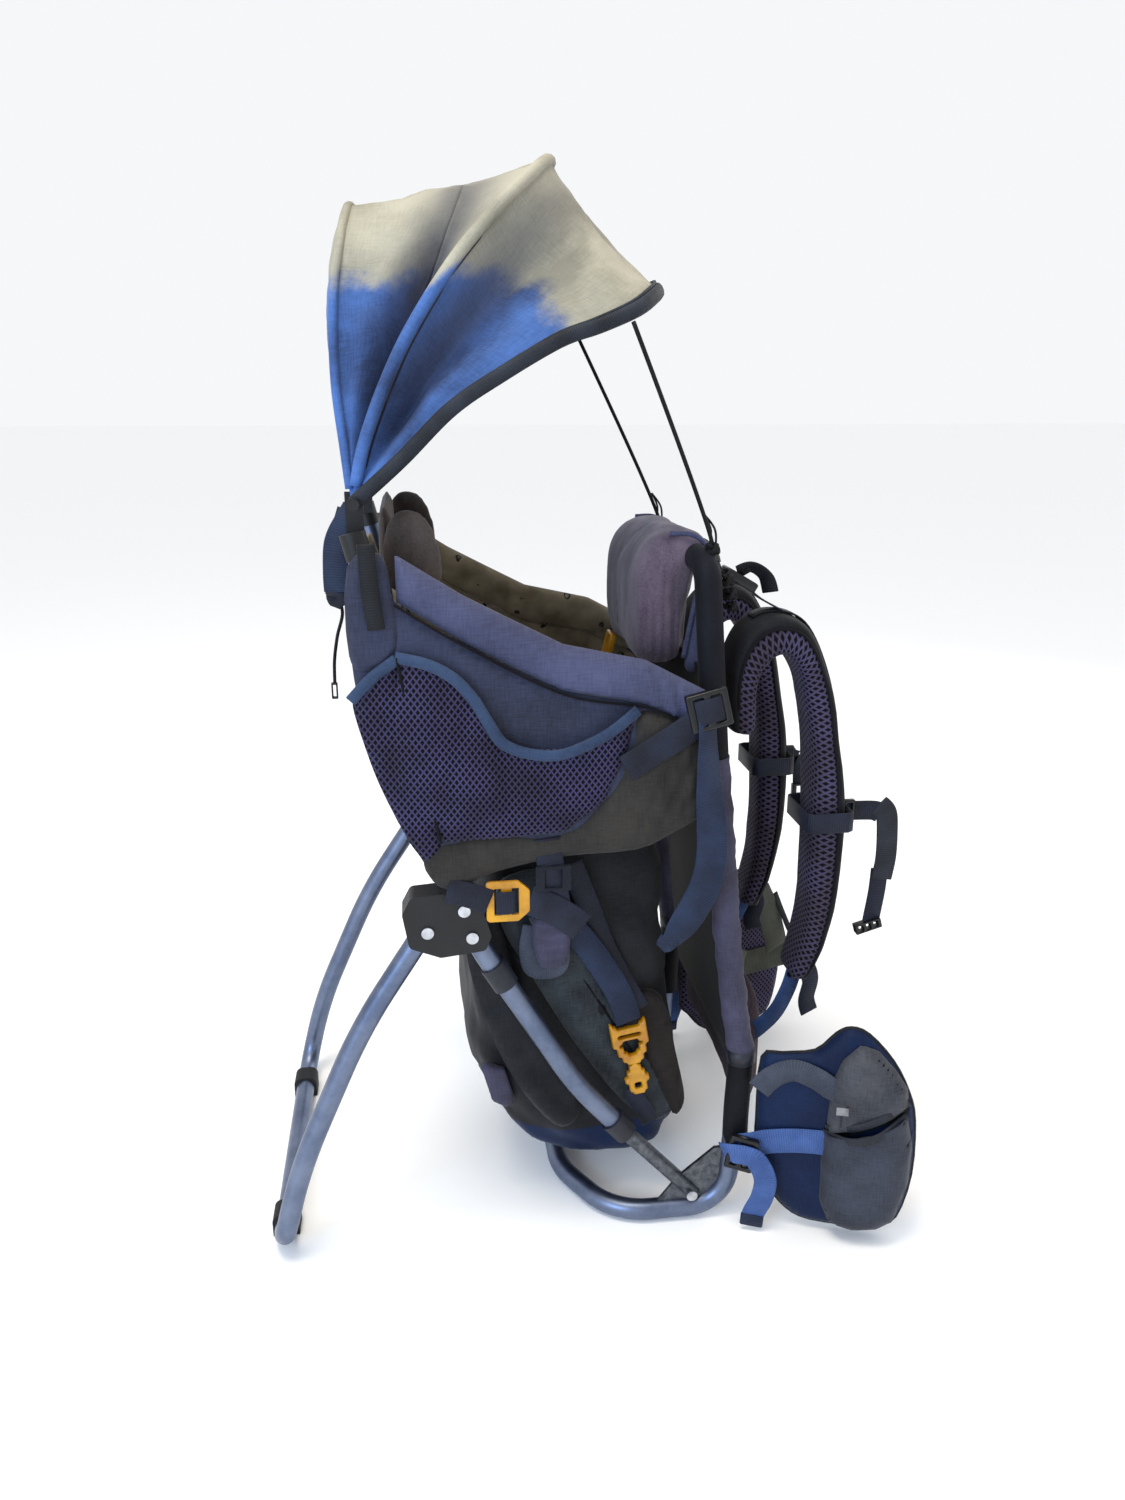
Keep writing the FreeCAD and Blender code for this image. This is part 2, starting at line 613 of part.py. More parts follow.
def sternum(side, tail):
    """A webbing loop that slides on the shoulder strap, with its free end hanging from it."""
    y = -dim("strap_y")
    wide = dim("strap_wide")
    name = "sternum_" + side
    outer = box(name + "_outer", (52, wide + 6, 22), (232, y, 440))
    inner = box(name + "_inner", (47, wide + 2, 30), (232, y, 440))
    loop = cut(outer, [inner], name)
    hang = band(name + "_tail", 20, "dims.web_thick", tail, [9, 14][:len(tail) - 2])
    item = fuse([loop, hang], name + "_whole")
    return item


def hip_slab(name, outline, thick, out):
    """A slab in the hip fin's own upright plane: out is its distance outwards."""
    body = slab(name, "XZ_Plane", outline, thick)
    turn = Rotation(Vector(0, 0, 1), -dim("hip_flare"))
    at = Vector(dim("hip_x"), -dim("hip_y"), 0) + turn.multVec(Vector(0, -out, 0))
    body.Placement = Placement(at, turn)
    return body


def hip_belt():
    fin = slab("fin", "XZ_Plane",
               [(2, 62), (2, 206), (56, 214), (88, 246), (132, 212), (160, 145), (162, 74),
                (150, 18), (116, 5), (62, 5), (20, 38)], "dims.fin_thick", 8, 7)
    turn = Rotation(Vector(0, 0, 1), -dim("hip_flare"))
    fin.Placement = Placement(Vector(dim("hip_x"), -dim("hip_y"), 0), turn)
    node(fin, "hip_fin_right")
    mirrored(fin, "hip_fin_left")
    out = dim("fin_thick") / 2 + 0.5 + dim("pocket_deep") / 2
    shell = hip_slab("hip_pocket_shell", [(72, 14), (146, 20), (158, 74), (155, 140), (118, 188),
                                          (74, 176)], "dims.pocket_deep", out)
    room = hip_slab("hip_pocket_room", [(75, 18), (143, 23), (155, 74), (152, 142), (120, 230),
                                        (75, 230)], "dims.pocket_deep - 2*dims.skin", out)
    pocket = node(cut(shell, [room], "hip_pocket"), "hip_pocket_right")
    mirrored(pocket, "hip_pocket_left")
    out = dim("fin_thick") / 2 + dim("pocket_deep") + 3
    at = Vector(dim("hip_x"), -dim("hip_y"), 172) + turn.multVec(Vector(84, -out, 0))
    node(box("zip_slider", (12, 4, 9), tuple(at), turn), "hip_zip_slider")
    inside = -(dim("fin_thick") / 2 + 1.5)
    node(hip_slab("waist_right", [(50, 88), (150, 88), (150, 126), (50, 126)], "dims.web_thick",
                  inside), "waist_strap_right")
    reach = dim("waist_reach")
    far = hip_slab("waist_left_plan", [(60, 88), (reach, 88), (reach, 126), (60, 126)], "dims.web_thick",
                   inside)
    mirrored(far, "waist_strap_left")


# ---- canopy ---------------------------------------------------------------------------------------

PIN = Vector(dim("canopy_x"), 0, dim("canopy_z"))


def hoop_shape(half, reach):
    """A hoop's outline in its own plane: distance across, and distance from the hinge axis."""
    side = [(half, 0.02), (half + 3, 0.80), (0.80 * half, 0.955), (0.32 * half, 1.0)]
    right = [(-across, share * reach) for across, share in side]
    return right + [(-across, out) for across, out in reversed(right)]


def lifted(points, angle):
    """Hoop outline points turned up to an angle above the horizontal."""
    slope = math.radians(angle)
    return [(PIN.x + out * math.cos(slope), across, PIN.z + out * math.sin(slope))
            for across, out in points]


def hoop(which, place_number):
    half = dim("hub_first") + place_number * dim("hub_pitch")
    angle = dim(which + "_angle")
    points = lifted(hoop_shape(half, dim(which + "_reach")), angle)
    wire = bar(which + "_rod", "dims.rod_dia", points, wide_radii(points))
    parts = [wire]
    bores = []
    for side in (-1, 1):
        low = side * half - 3
        name = "%s_hub%d" % (which, side + 1)
        parts.append(cross_rod(name, "dims.hub_dia", "dims.canopy_x", low, low + 6, "dims.canopy_z"))
        bores.append(cross_rod(name + "_bore", "dims.pin_dia + 0.1", "dims.canopy_x", low - 2, low + 8,
                               "dims.canopy_z"))
    node(cut(fuse(parts, which + "_hoop_whole"), bores, which + "_hoop"), "canopy_%s_hoop" % which)


def cover(low, high):
    """The canopy's cloth between two hoops, a closed skin outside the rods."""
    sections = []
    for which, place_number in (low, high):
        half = dim("hub_first") + place_number * dim("hub_pitch")
        ends = []
        for gap in (5.0, 5.0 + dim("cover_thick")):
            shape = hoop_shape(half + gap, dim(which + "_reach") + gap)
            shape[0] = (shape[0][0], 24)
            shape[-1] = (shape[-1][0], 24)
            ends.append(lifted(shape, dim(which + "_angle")))
        ring = [Vector(*point) for point in ends[1] + list(reversed(ends[0]))]
        sections.append(Part.makePolygon(ring + ring[:1]))
    item = doc.addObject("Part::Feature", "cloth_" + low[0])
    item.Shape = Part.makeLoft(sections, True, True)
    item.Placement = Placement()
    return item


def back_cloth():
    """The cloth that closes the canopy's rear, just behind its rear hoop."""
    half = dim("hub_first")
    shape = hoop_shape(half + 5, dim("rear_reach") + 5)
    shape[0] = (shape[0][0], 24)
    shape[-1] = (shape[-1][0], 24)
    ring = [Vector(*point) for point in lifted(shape, dim("rear_angle"))]
    slope = math.radians(dim("rear_angle"))
    behind = Vector(-math.sin(slope), 0, math.cos(slope))
    face = Part.Face(Part.makePolygon([at + behind * 3.4 for at in ring + ring[:1]]))
    item = doc.addObject("Part::Feature", "cloth_back")
    item.Shape = face.extrude(behind * dim("cover_thick"))
    item.Placement = Placement()
    return item


CORD = [(8, -158, 924), (92, -121, 747), (96, -119, 728)]


def canopy():
    for number, which in enumerate(("rear", "mid", "front")):
        hoop(which, number)
    group([cover(("rear", 0), ("mid", 1)), back_cloth()], "canopy_rear_cover")
    node(cover(("mid", 1), ("front", 2)), "canopy_front_cover")
    top = Vector(*STRUT[3])
    cap = rod("socket_cap", 24, top, top + (top - Vector(*STRUT[2])).normalize() * 24)
    ear = box("socket_ear", (16, 6, 44), (-238, -137.2, 760))
    pin = cross_rod("socket_pin", "dims.pin_dia", "dims.canopy_x", -163.5, -138, "dims.canopy_z")
    head = cross_rod("socket_head", "dims.pin_dia + 5", "dims.canopy_x", -166, -162.5, "dims.canopy_z")
    both_sides(fuse([cap, ear, pin, head], "socket"), "canopy_sockets")
    radii = wide_radii(CORD)
    print("canopy cord radii", [round(radius, 1) for radius in radii])
    cord = node(bar("cord", "dims.cord_dia", CORD, radii), "canopy_cord_right")
    mirrored(cord, "canopy_cord_left")


# ---- the whole carrier ----------------------------------------------------------------------------

base_outside = frame_tubes()
strut_outside = struts(base_outside)
bracket(strut_outside)
stand()
seat()
mesh_pocket()
rear_pocket()
luggage_bag()
seat_webbing()
entry_buckle()
back_system()
harness()
Y = -dim("strap_y")
node(sternum("right", [(257, Y, 440), (305, Y, 437), (312, Y, 400), (302, Y, 300)]), "sternum_strap_right")
left = sternum("left", [(257, Y, 440), (276, Y, 437), (279, Y, 396)])
mirrored(left, "sternum_strap_left")
hip_belt()
canopy()
doc.recompute()

faults = [item.Name for item in doc.Objects if "Invalid" in item.State or "Error" in item.State]
if faults:
    raise RuntimeError("failed: " + ", ".join(faults))
for item in NODES:
    if item.Shape.isNull() or not item.Shape.isValid() or not item.Shape.Solids:
        raise RuntimeError("bad shape: " + item.Label)
os.makedirs("parts", exist_ok=True)
for item in NODES:
    item.Shape.exportStep("parts/%s.step" % item.Label)
print(len(NODES), "sub-parts")
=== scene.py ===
import math

import bmesh
import bpy
import numpy as np
from mathutils import Matrix, Vector, noise


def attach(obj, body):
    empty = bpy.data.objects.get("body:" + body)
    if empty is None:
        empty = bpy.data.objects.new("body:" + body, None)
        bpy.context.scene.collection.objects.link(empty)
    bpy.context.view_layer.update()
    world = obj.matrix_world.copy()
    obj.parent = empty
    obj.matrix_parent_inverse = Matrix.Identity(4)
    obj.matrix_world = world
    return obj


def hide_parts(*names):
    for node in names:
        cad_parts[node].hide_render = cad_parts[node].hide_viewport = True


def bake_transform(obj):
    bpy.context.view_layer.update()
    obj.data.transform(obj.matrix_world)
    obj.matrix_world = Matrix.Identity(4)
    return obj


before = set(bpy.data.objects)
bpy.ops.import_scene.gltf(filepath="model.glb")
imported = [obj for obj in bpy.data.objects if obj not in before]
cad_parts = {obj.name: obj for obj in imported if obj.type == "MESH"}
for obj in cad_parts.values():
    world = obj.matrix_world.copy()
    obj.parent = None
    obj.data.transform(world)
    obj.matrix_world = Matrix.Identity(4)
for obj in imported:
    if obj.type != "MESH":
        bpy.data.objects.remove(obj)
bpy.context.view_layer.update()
SIDES = (("right", -1), ("left", 1))
WEB_THICK = 0.0018
CLOTH_THICK = 0.0012
PIPING_SIDES = 8


# ---- shaping helpers -----------------------------------------------------------------------------

def mm(points, side=1):
    """Points written in millimetres for the left side, as vectors in metres on the given side."""
    return [Vector((x, y * side, z)) / 1000 for x, y, z in points]


def smooth(points, steps=8):
    """A curve that passes through the points."""
    line = []
    last = len(points) - 1
    for i in range(last):
        before, a, b, after = points[max(i - 1, 0)], points[i], points[i + 1], points[min(i + 2, last)]
        for k in range(steps):
            t = k / steps
            line.append(0.5 * (2 * a + (b - before) * t + (2 * before - 5 * a + 4 * b - after) * t ** 2
                               + (3 * a - before - 3 * b + after) * t ** 3))
    return line + [points[last]]


def even(points, count):
    """The same line with its points spread evenly, count of them."""
    far = [0.0]
    for a, b in zip(points, points[1:]):
        far.append(far[-1] + (b - a).length)
    co = np.array(points)
    wanted = np.linspace(0, far[-1], count)
    return [Vector(p) for p in np.stack([np.interp(wanted, far, co[:, k]) for k in range(3)], 1)]


def ease(x, low=0.0, high=1.0):
    t = min(max((x - low) / (high - low), 0.0), 1.0)
    return t * t * (3 - 2 * t)


def crown(depth, width):
    """How full a stuffed form is at this depth in from its seam: 0 at the seam, 1 past the width."""
    return math.sqrt(max(0.0, 1 - (1 - min(depth / width, 1.0)) ** 2))


def wrinkle(point, size, height):
    """Soft creases of about this size, in metres."""
    return noise.fractal(point / size, 1.0, 2.0, 3) * height


def put(obj, body, replaced=(), blend=None):
    """The piece takes its place on a body, or stays unparented where it is when it spans two; the CAD nodes
    it stands for are hidden.
    """
    if blend:
        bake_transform(obj)
    elif body:
        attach(obj, body)
    if replaced:
        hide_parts(*replaced)
    return obj


def piece(name, verts, faces, finishes, body, replaced=(), corners=None, inner=(), blend=None):
    """A closed mesh piece; corners are each face's UV points in metres, inner the second finish's faces."""
    mesh = bpy.data.meshes.new(name)
    mesh.from_pydata([tuple(v) for v in verts], [], faces)
    for item in finishes if isinstance(finishes, (list, tuple)) else [finishes]:
        mesh.materials.append(item)
    if corners:
        layer = mesh.uv_layers.new(name="UVMap")
        layer.data.foreach_set("uv", [value for face in corners for uv in face for value in uv])
    for index in inner:
        mesh.polygons[index].material_index = 1
    shape = bmesh.new()
    shape.from_mesh(mesh)
    bmesh.ops.recalc_face_normals(shape, faces=shape.faces)
    shape.to_mesh(mesh)
    shape.free()
    mesh.polygons.foreach_set("use_smooth", [True] * len(mesh.polygons))
    obj = bpy.data.objects.new(name, mesh)
    bpy.context.collection.objects.link(obj)
    return put(obj, body, replaced, blend)


def solo(obj):
    """Selects this object alone."""
    bpy.ops.object.select_all(action="DESELECT")
    obj.select_set(True)
    bpy.context.view_layer.objects.active = obj


def crisp(obj, degrees):
    """Keeps the edges sharper than this angle."""
    solo(obj)
    bpy.ops.object.shade_smooth_by_angle(angle=math.radians(degrees))
    return obj


def rings(name, loops, finish, body, replaced=(), around=None, along=None, blend=None):
    """A closed form through rings of points, capped at both ends."""
    count = len(loops[0])
    verts = [p for loop in loops for p in loop]
    faces, corners = [], []
    if along is None:
        along = [0.0]
        for a, b in zip(loops, loops[1:]):
            along.append(along[-1] + (sum(b, Vector()) - sum(a, Vector())).length / count)
    if around is None:
        around = [0.0]
        for k in range(count):
            around.append(around[-1] + (loops[0][(k + 1) % count] - loops[0][k]).length)
    for i in range(len(loops) - 1):
        for k in range(count):
            n = (k + 1) % count
            faces.append((i * count + k, i * count + n, (i + 1) * count + n, (i + 1) * count + k))
            corners.append([(along[i], around[k]), (along[i], around[k + 1]),
                            (along[i + 1], around[k + 1]), (along[i + 1], around[k])])
    for i in (0, len(loops) - 1):
        faces.append([i * count + k for k in range(count)])
        corners.append([(along[i], around[k]) for k in range(count)])
    return piece(name, verts, faces, finish, body, replaced, corners, blend=blend)


def directions(line):
    return [(line[min(i + 1, len(line) - 1)] - line[max(i - 1, 0)]).normalized() for i in range(len(line))]


def ribbon(name, line, face, width, thick, finish, body, replaced=(), blend=None):
    """Webbing along a line: face is the way its flat side looks, one direction or one for each point."""
    looks = face if isinstance(face, list) else [face] * len(line)
    wide = width if isinstance(width, list) else [width] * len(line)
    loops = []
    for p, along, look, w in zip(line, directions(line), looks, wide):
        across = along.cross(look).normalized() * (w / 2)
        up = across.cross(along).normalized() * (thick / 2)
        edge = 1 - min(0.3, thick / w)
        loops.append([p - across, p - across * edge + up, p + up, p + across * edge + up,
                      p + across, p + across * edge - up, p - up, p - across * edge - up])
    half = wide[0] / 2
    around = [-half, -half * 0.9, 0, half * 0.9, half, half * 0.9, 0, -half * 0.9, -half]
    return rings(name, loops, finish, body, replaced, around, blend=blend)


def strap(name, points, side, face, width, finish, body, replaced=(), thick=WEB_THICK):
    """Webbing through points in millimetres."""
    return ribbon(name, smooth(mm(points, side)), face, width, thick, finish, body, replaced)


def tube(name, line, radius, finish, body, replaced=(), sides=10, blend=None, squash=1.0):
    """A round cord, piping or rod along a line; squash flattens it sideways."""
    loops = []
    steady = Vector((0, 0, 1)) if abs(directions(line)[0].z) < 0.9 else Vector((1, 0, 0))
    for p, along in zip(line, directions(line)):
        first = (steady - along * steady.dot(along)).normalized()
        steady = first
        second = along.cross(first)
        loops.append([p + first * radius * math.cos(a) + second * radius * squash * math.sin(a)
                      for a in (2 * math.pi * k / sides for k in range(sides))])
    return rings(name, loops, finish, body, replaced, blend=blend)


def cloth_sheet(name, rows, thick, finishes, body, replaced=(), blend=None):
    """Cloth through a grid of points, with its thickness laid inside; its second finish lines it."""
    high, wide = len(rows), len(rows[0])
    co = np.array([[tuple(p) for p in row] for row in rows])
    up = np.gradient(co, axis=0)
    across = np.gradient(co, axis=1)
    normal = np.cross(across, up)
    normal /= np.linalg.norm(normal, axis=2, keepdims=True) + 1e-9
    back = co - normal * thick
    verts = [Vector(p) for p in np.concatenate([co.reshape(-1, 3), back.reshape(-1, 3)])]
    v_along = np.concatenate([[0], np.cumsum(np.linalg.norm(np.diff(co, axis=0), axis=2).mean(1))])
    u_along = np.concatenate([[0], np.cumsum(np.linalg.norm(np.diff(co, axis=1), axis=2).mean(0))])
    faces, corners, inner = [], [], []
    total = high * wide

    def add_face(cells, uv_at, shift=0):
        faces.append([i * wide + k + total * s for (i, k), s in zip(cells, shift or [0] * len(cells))])
        corners.append([(u_along[k], v_along[i]) for i, k in uv_at])

    for i in range(high - 1):
        for k in range(wide - 1):
            quad = [(i, k), (i, k + 1), (i + 1, k + 1), (i + 1, k)]
            add_face(quad, quad)
            inner.append(len(faces))
            add_face(quad[::-1], quad[::-1], [1] * 4)
    edge = ([(0, k) for k in range(wide)] + [(i, wide - 1) for i in range(1, high)]
            + [(high - 1, k) for k in range(wide - 2, -1, -1)] + [(i, 0) for i in range(high - 2, 0, -1)])
    for a, b in zip(edge, edge[1:] + edge[:1]):
        add_face([a, b, b, a], [a, b, b, a], [0, 0, 1, 1])
    lined = inner if isinstance(finishes, (list, tuple)) and len(finishes) > 1 else ()
    return piece(name, verts, faces, finishes, body, replaced, corners, lined, blend)


def pillow(name, outline, pitch, place, top, bottom, finishes, body, replaced=(), blend=None):
    """A sewn or stuffed form on a flat outline. place(u, v, h) puts a point h off the outline's plane;
    top and bottom give each face's height at (u, v, depth in from the seam)."""
    ring = np.array(outline, float)
    nxt = np.roll(ring, -1, axis=0)
    run = nxt - ring
    length = (run ** 2).sum(1)

    def nearest(points):
        t = np.clip(((points[:, None] - ring) * run).sum(2) / length, 0, 1)
        spots = ring + t[..., None] * run
        gap = np.linalg.norm(points[:, None] - spots, axis=2)
        best = gap.argmin(1)
        rows = np.arange(len(points))
        return spots[rows, best], gap[rows, best]

    def inside(points):
        x, y = points[:, :1], points[:, 1:]
        crosses = (ring[:, 1] > y) != (nxt[:, 1] > y)
        with np.errstate(divide="ignore", invalid="ignore"):
            where = ring[:, 0] + (y - ring[:, 1]) * run[:, 0] / run[:, 1]
        return (crosses & (x < where)).sum(1) % 2 == 1

    low = ring.min(0) - pitch / 2
    cells = np.ceil((ring.max(0) - low) / pitch).astype(int) + 1
    grid = np.stack(np.meshgrid(np.arange(cells[0]), np.arange(cells[1]), indexing="ij"), 2).reshape(-1, 2)
    kept = [tuple(c) for c in grid[inside(low + (grid + 0.5) * pitch)]]
    number, quads, uses = {}, [], {}
    for i, k in kept:
        quad = [number.setdefault(c, len(number)) for c in ((i, k), (i + 1, k), (i + 1, k + 1), (i, k + 1))]
        quads.append(quad)
        for a, b in zip(quad, quad[1:] + quad[:1]):
            uses[(a, b)] = uses.get((a, b), 0) + 1
    rim = [(a, b) for a, b in uses if (b, a) not in uses]
    flat = low + np.array(list(number)) * pitch
    on_rim = sorted({a for a, _ in rim})
    flat[on_rim] = nearest(flat[on_rim])[0]
    free = np.ones(len(flat), bool)
    free[on_rim] = False
    pairs = np.array([edge for edge in uses])
    for _ in range(4):
        total, count = np.zeros_like(flat), np.zeros(len(flat))
        for a, b in ((0, 1), (1, 0)):
            np.add.at(total, pairs[:, a], flat[pairs[:, b]])
            np.add.at(count, pairs[:, a], 1)
        flat[free] = (total / count[:, None])[free]
    depth = nearest(flat)[1]
    depth[on_rim] = 0
    size = len(flat)
    verts = [place(u, v, top(u, v, d)) for (u, v), d in zip(flat, depth)]
    verts += [place(u, v, bottom(u, v, d)) for (u, v), d in zip(flat, depth)]
    faces = quads + [[size + i for i in quad[::-1]] for quad in quads]
    faces += [[b, a, size + a, size + b] for a, b in rim]
    corners = [[tuple(flat[i % size]) for i in face] for face in faces]
    lined = ()
    if isinstance(finishes, (list, tuple)) and len(finishes) > 1:
        lined = range(len(quads), 2 * len(quads))
    return piece(name, verts, faces, finishes, body, replaced, corners, lined, blend)


def puffed(base, swell=0.0, width=1.0):
    """A face's height over its outline: base at its seam, rising by swell over this width in from it."""
    return lambda u, v, d: base + swell * crown(d, width)


def upright_place(y, side):
    """Puts an outline drawn as (x, z) on the carrier's side, at y out from the middle, in metres."""
    return lambda u, v, h: Vector((u, side * (y + h), v))


def tilted_place(foot, degrees):
    """Puts an outline drawn as (y, up) on a plane across the carrier that leans about its foot."""
    turn = Matrix.Rotation(math.radians(degrees), 3, "Y")
    base = Vector(foot)
    return lambda u, v, h: base + turn @ Vector((h, u, v))


def plan(points, steps=5):
    """A smooth flat outline through points in millimetres, in metres."""
    ring = [Vector((a, b, 0)) / 1000 for a, b in points]
    line = smooth(ring[-2:] + ring + ring[:2], steps)
    return [(p.x, p.y) for p in line[2 * steps:-1 - 2 * steps + steps]]


def inflate(obj, cap, voxel=0.005, pressure=4.0):
    """Swells a stuffed piece as cloth under air pressure, so that its cover wrinkles. No point moves
    further than the cap."""
    solo(obj)
    cover = obj.modifiers.new("cover", "REMESH")
    cover.mode, cover.voxel_size, cover.use_smooth_shade = "VOXEL", voxel, True
    bpy.ops.object.modifier_apply(modifier=cover.name)
    rest = np.array([v.co for v in obj.data.vertices])
    air = obj.modifiers.new("air", "CLOTH")
    air.settings.quality = 4
    air.settings.mass = 0.3
    air.settings.tension_stiffness = air.settings.compression_stiffness = 12
    air.settings.shear_stiffness = 5
    air.settings.bending_stiffness = 0.4
    air.settings.use_pressure = True
    air.settings.uniform_pressure_force = pressure
    air.settings.effector_weights.gravity = 0
    air.collision_settings.use_collision = False
    for moment in range(1, 21):
        bpy.context.scene.frame_set(moment)
    swollen = obj.evaluated_get(bpy.context.evaluated_depsgraph_get()).to_mesh()
    moved = np.array([v.co for v in swollen.vertices]) - rest
    obj.modifiers.remove(air)
    bpy.context.scene.frame_set(1)
    far = np.linalg.norm(moved, axis=1, keepdims=True) + 1e-9
    moved *= np.minimum(1, cap / far)
    obj.data.vertices.foreach_set("co", (rest + moved).ravel())
    finer = obj.modifiers.new("finer", "SUBSURF")
    finer.levels = finer.render_levels = 1
    bpy.ops.object.modifier_apply(modifier=finer.name)
    obj.data.polygons.foreach_set("use_smooth", [True] * len(obj.data.polygons))
    return obj


def lay_uv(obj, u_way, v_way):
    """Gives a piece a UV map in metres, flat along two directions."""
    layer = obj.data.uv_layers.get("UVMap") or obj.data.uv_layers.new(name="UVMap")
    co = np.array([v.co for v in obj.data.vertices])
    points = np.stack([co @ np.array(u_way), co @ np.array(v_way)], 1)
    corners = np.array([loop.vertex_index for loop in obj.data.loops])
    layer.data.foreach_set("uv", points[corners].ravel())
    return obj


# ---- finishes ------------------------------------------------------------------------------------

def hue(code):
    """An sRGB hex colour as linear numbers."""
    values = [int(code[i:i + 2], 16) / 255 for i in (0, 2, 4)]
    return tuple(v / 12.92 if v <= 0.04045 else ((v + 0.055) / 1.055) ** 2.4 for v in values) + (1.0,)


def add(tree, kind, inputs=None, **settings):
    """Adds a node with its settings; an input is a value or the socket that feeds it."""
    made = tree.nodes.new("ShaderNode" + kind)
    for key, value in settings.items():
        setattr(made, key, value)
    for key, value in (inputs or {}).items():
        if isinstance(value, bpy.types.NodeSocket):
            tree.links.new(value, made.inputs[key])
        else:
            made.inputs[key].default_value = value
    return made


def ramp(tree, source, stops):
    """Turns a value into a colour between stops of (place, hex colour)."""
    made = add(tree, "ValToRGB", {0: source})
    while len(made.color_ramp.elements) < len(stops):
        made.color_ramp.elements.new(0.5)
    for element, (place, code) in zip(made.color_ramp.elements, stops):
        element.position, element.color = place, hue(code)
    return made.outputs[0]


def start(name, values):
    """A new finish: its material, node tree and surface shader, with the shader's constant values."""
    material = bpy.data.materials.new(name)
    material.use_nodes = True
    tree = material.node_tree
    shader = tree.nodes["Principled BSDF"]
    for key, value in values.items():
        shader.inputs[key].default_value = value
    return material, tree, shader


def grain(tree, coordinates, scale, detail=2.0, rough=0.5):
    """Noise with this scale along each axis, in cycles per metre."""
    spread = add(tree, "Mapping", {"Vector": coordinates, "Scale": scale})
    return add(tree, "TexNoise", {"Vector": spread.outputs[0], "Scale": 1.0, "Detail": detail,
                                  "Roughness": rough}).outputs["Fac"]


def woven(name, light, dark, thread=1.6, height=0.0004, sheen=0.045, rough=0.8, mottle=18.0):
    """Plain woven cloth: slubbed threads both ways, thread millimetres apart, and broad changes of tone.
    The threads are drawn about four times coarser than real ones, to stay visible from across a room."""
    material, tree, shader = start(name, {"Roughness": rough, "Sheen Weight": sheen, "Sheen Roughness": 0.5,
                                          "Specular IOR Level": 0.12})
    places = add(tree, "TexCoord").outputs
    fine, long = 1000 / thread, 110 / thread
    warp = grain(tree, places["UV"], (fine, long, 1))
    weft = grain(tree, places["UV"], (long, fine, 1))
    threads = add(tree, "Math", {0: warp, 1: weft}, operation="ADD").outputs[0]
    half = add(tree, "Math", {0: threads, 1: 0.5}, operation="MULTIPLY").outputs[0]
    broad = grain(tree, places["Object"], (mottle,) * 3, 3.0)
    tone = add(tree, "Math", {0: half, 1: 0.45}, operation="MULTIPLY").outputs[0]
    tone = add(tree, "Math", {0: broad, 1: 0.55, 2: tone}, operation="MULTIPLY_ADD").outputs[0]
    colour = ramp(tree, tone, [(0.36, dark), (0.62, light)])
    tree.links.new(colour, shader.inputs["Base Color"])
    bump = add(tree, "Bump", {"Height": half, "Strength": 0.6, "Distance": height})
    tree.links.new(bump.outputs[0], shader.inputs["Normal"])
    return material


def webbing(name, light, dark, rib=2.4, rough=0.55):
    """Woven nylon webbing: ribs across it, rib millimetres apart and drawn twice as coarse as real ones,
    with a slight gloss and a worn tone."""
    material, tree, shader = start(name,
                                   {"Roughness": rough, "Sheen Weight": 0.03, "Specular IOR Level": 0.2})
    places = add(tree, "TexCoord").outputs
    ribs = add(tree, "TexWave", {"Vector": places["UV"], "Scale": 314.16 / rib, "Distortion": 0.4,
                                 "Detail": 1.0}, bands_direction="X").outputs["Fac"]
    yarn = grain(tree, places["UV"], (260, 900, 1))
    relief = add(tree, "Math", {0: ribs, 1: 0.6, 2: yarn}, operation="MULTIPLY_ADD").outputs[0]
    broad = grain(tree, places["Object"], (30,) * 3)
    tone = add(tree, "Math", {0: relief, 1: 0.35, 2: broad}, operation="MULTIPLY_ADD").outputs[0]
    colour = ramp(tree, tone, [(0.55, dark), (1.0, light)])
    tree.links.new(colour, shader.inputs["Base Color"])
    bump = add(tree, "Bump", {"Height": relief, "Strength": 0.7, "Distance": 0.0005})
    tree.links.new(bump.outputs[0], shader.inputs["Normal"])
    return material


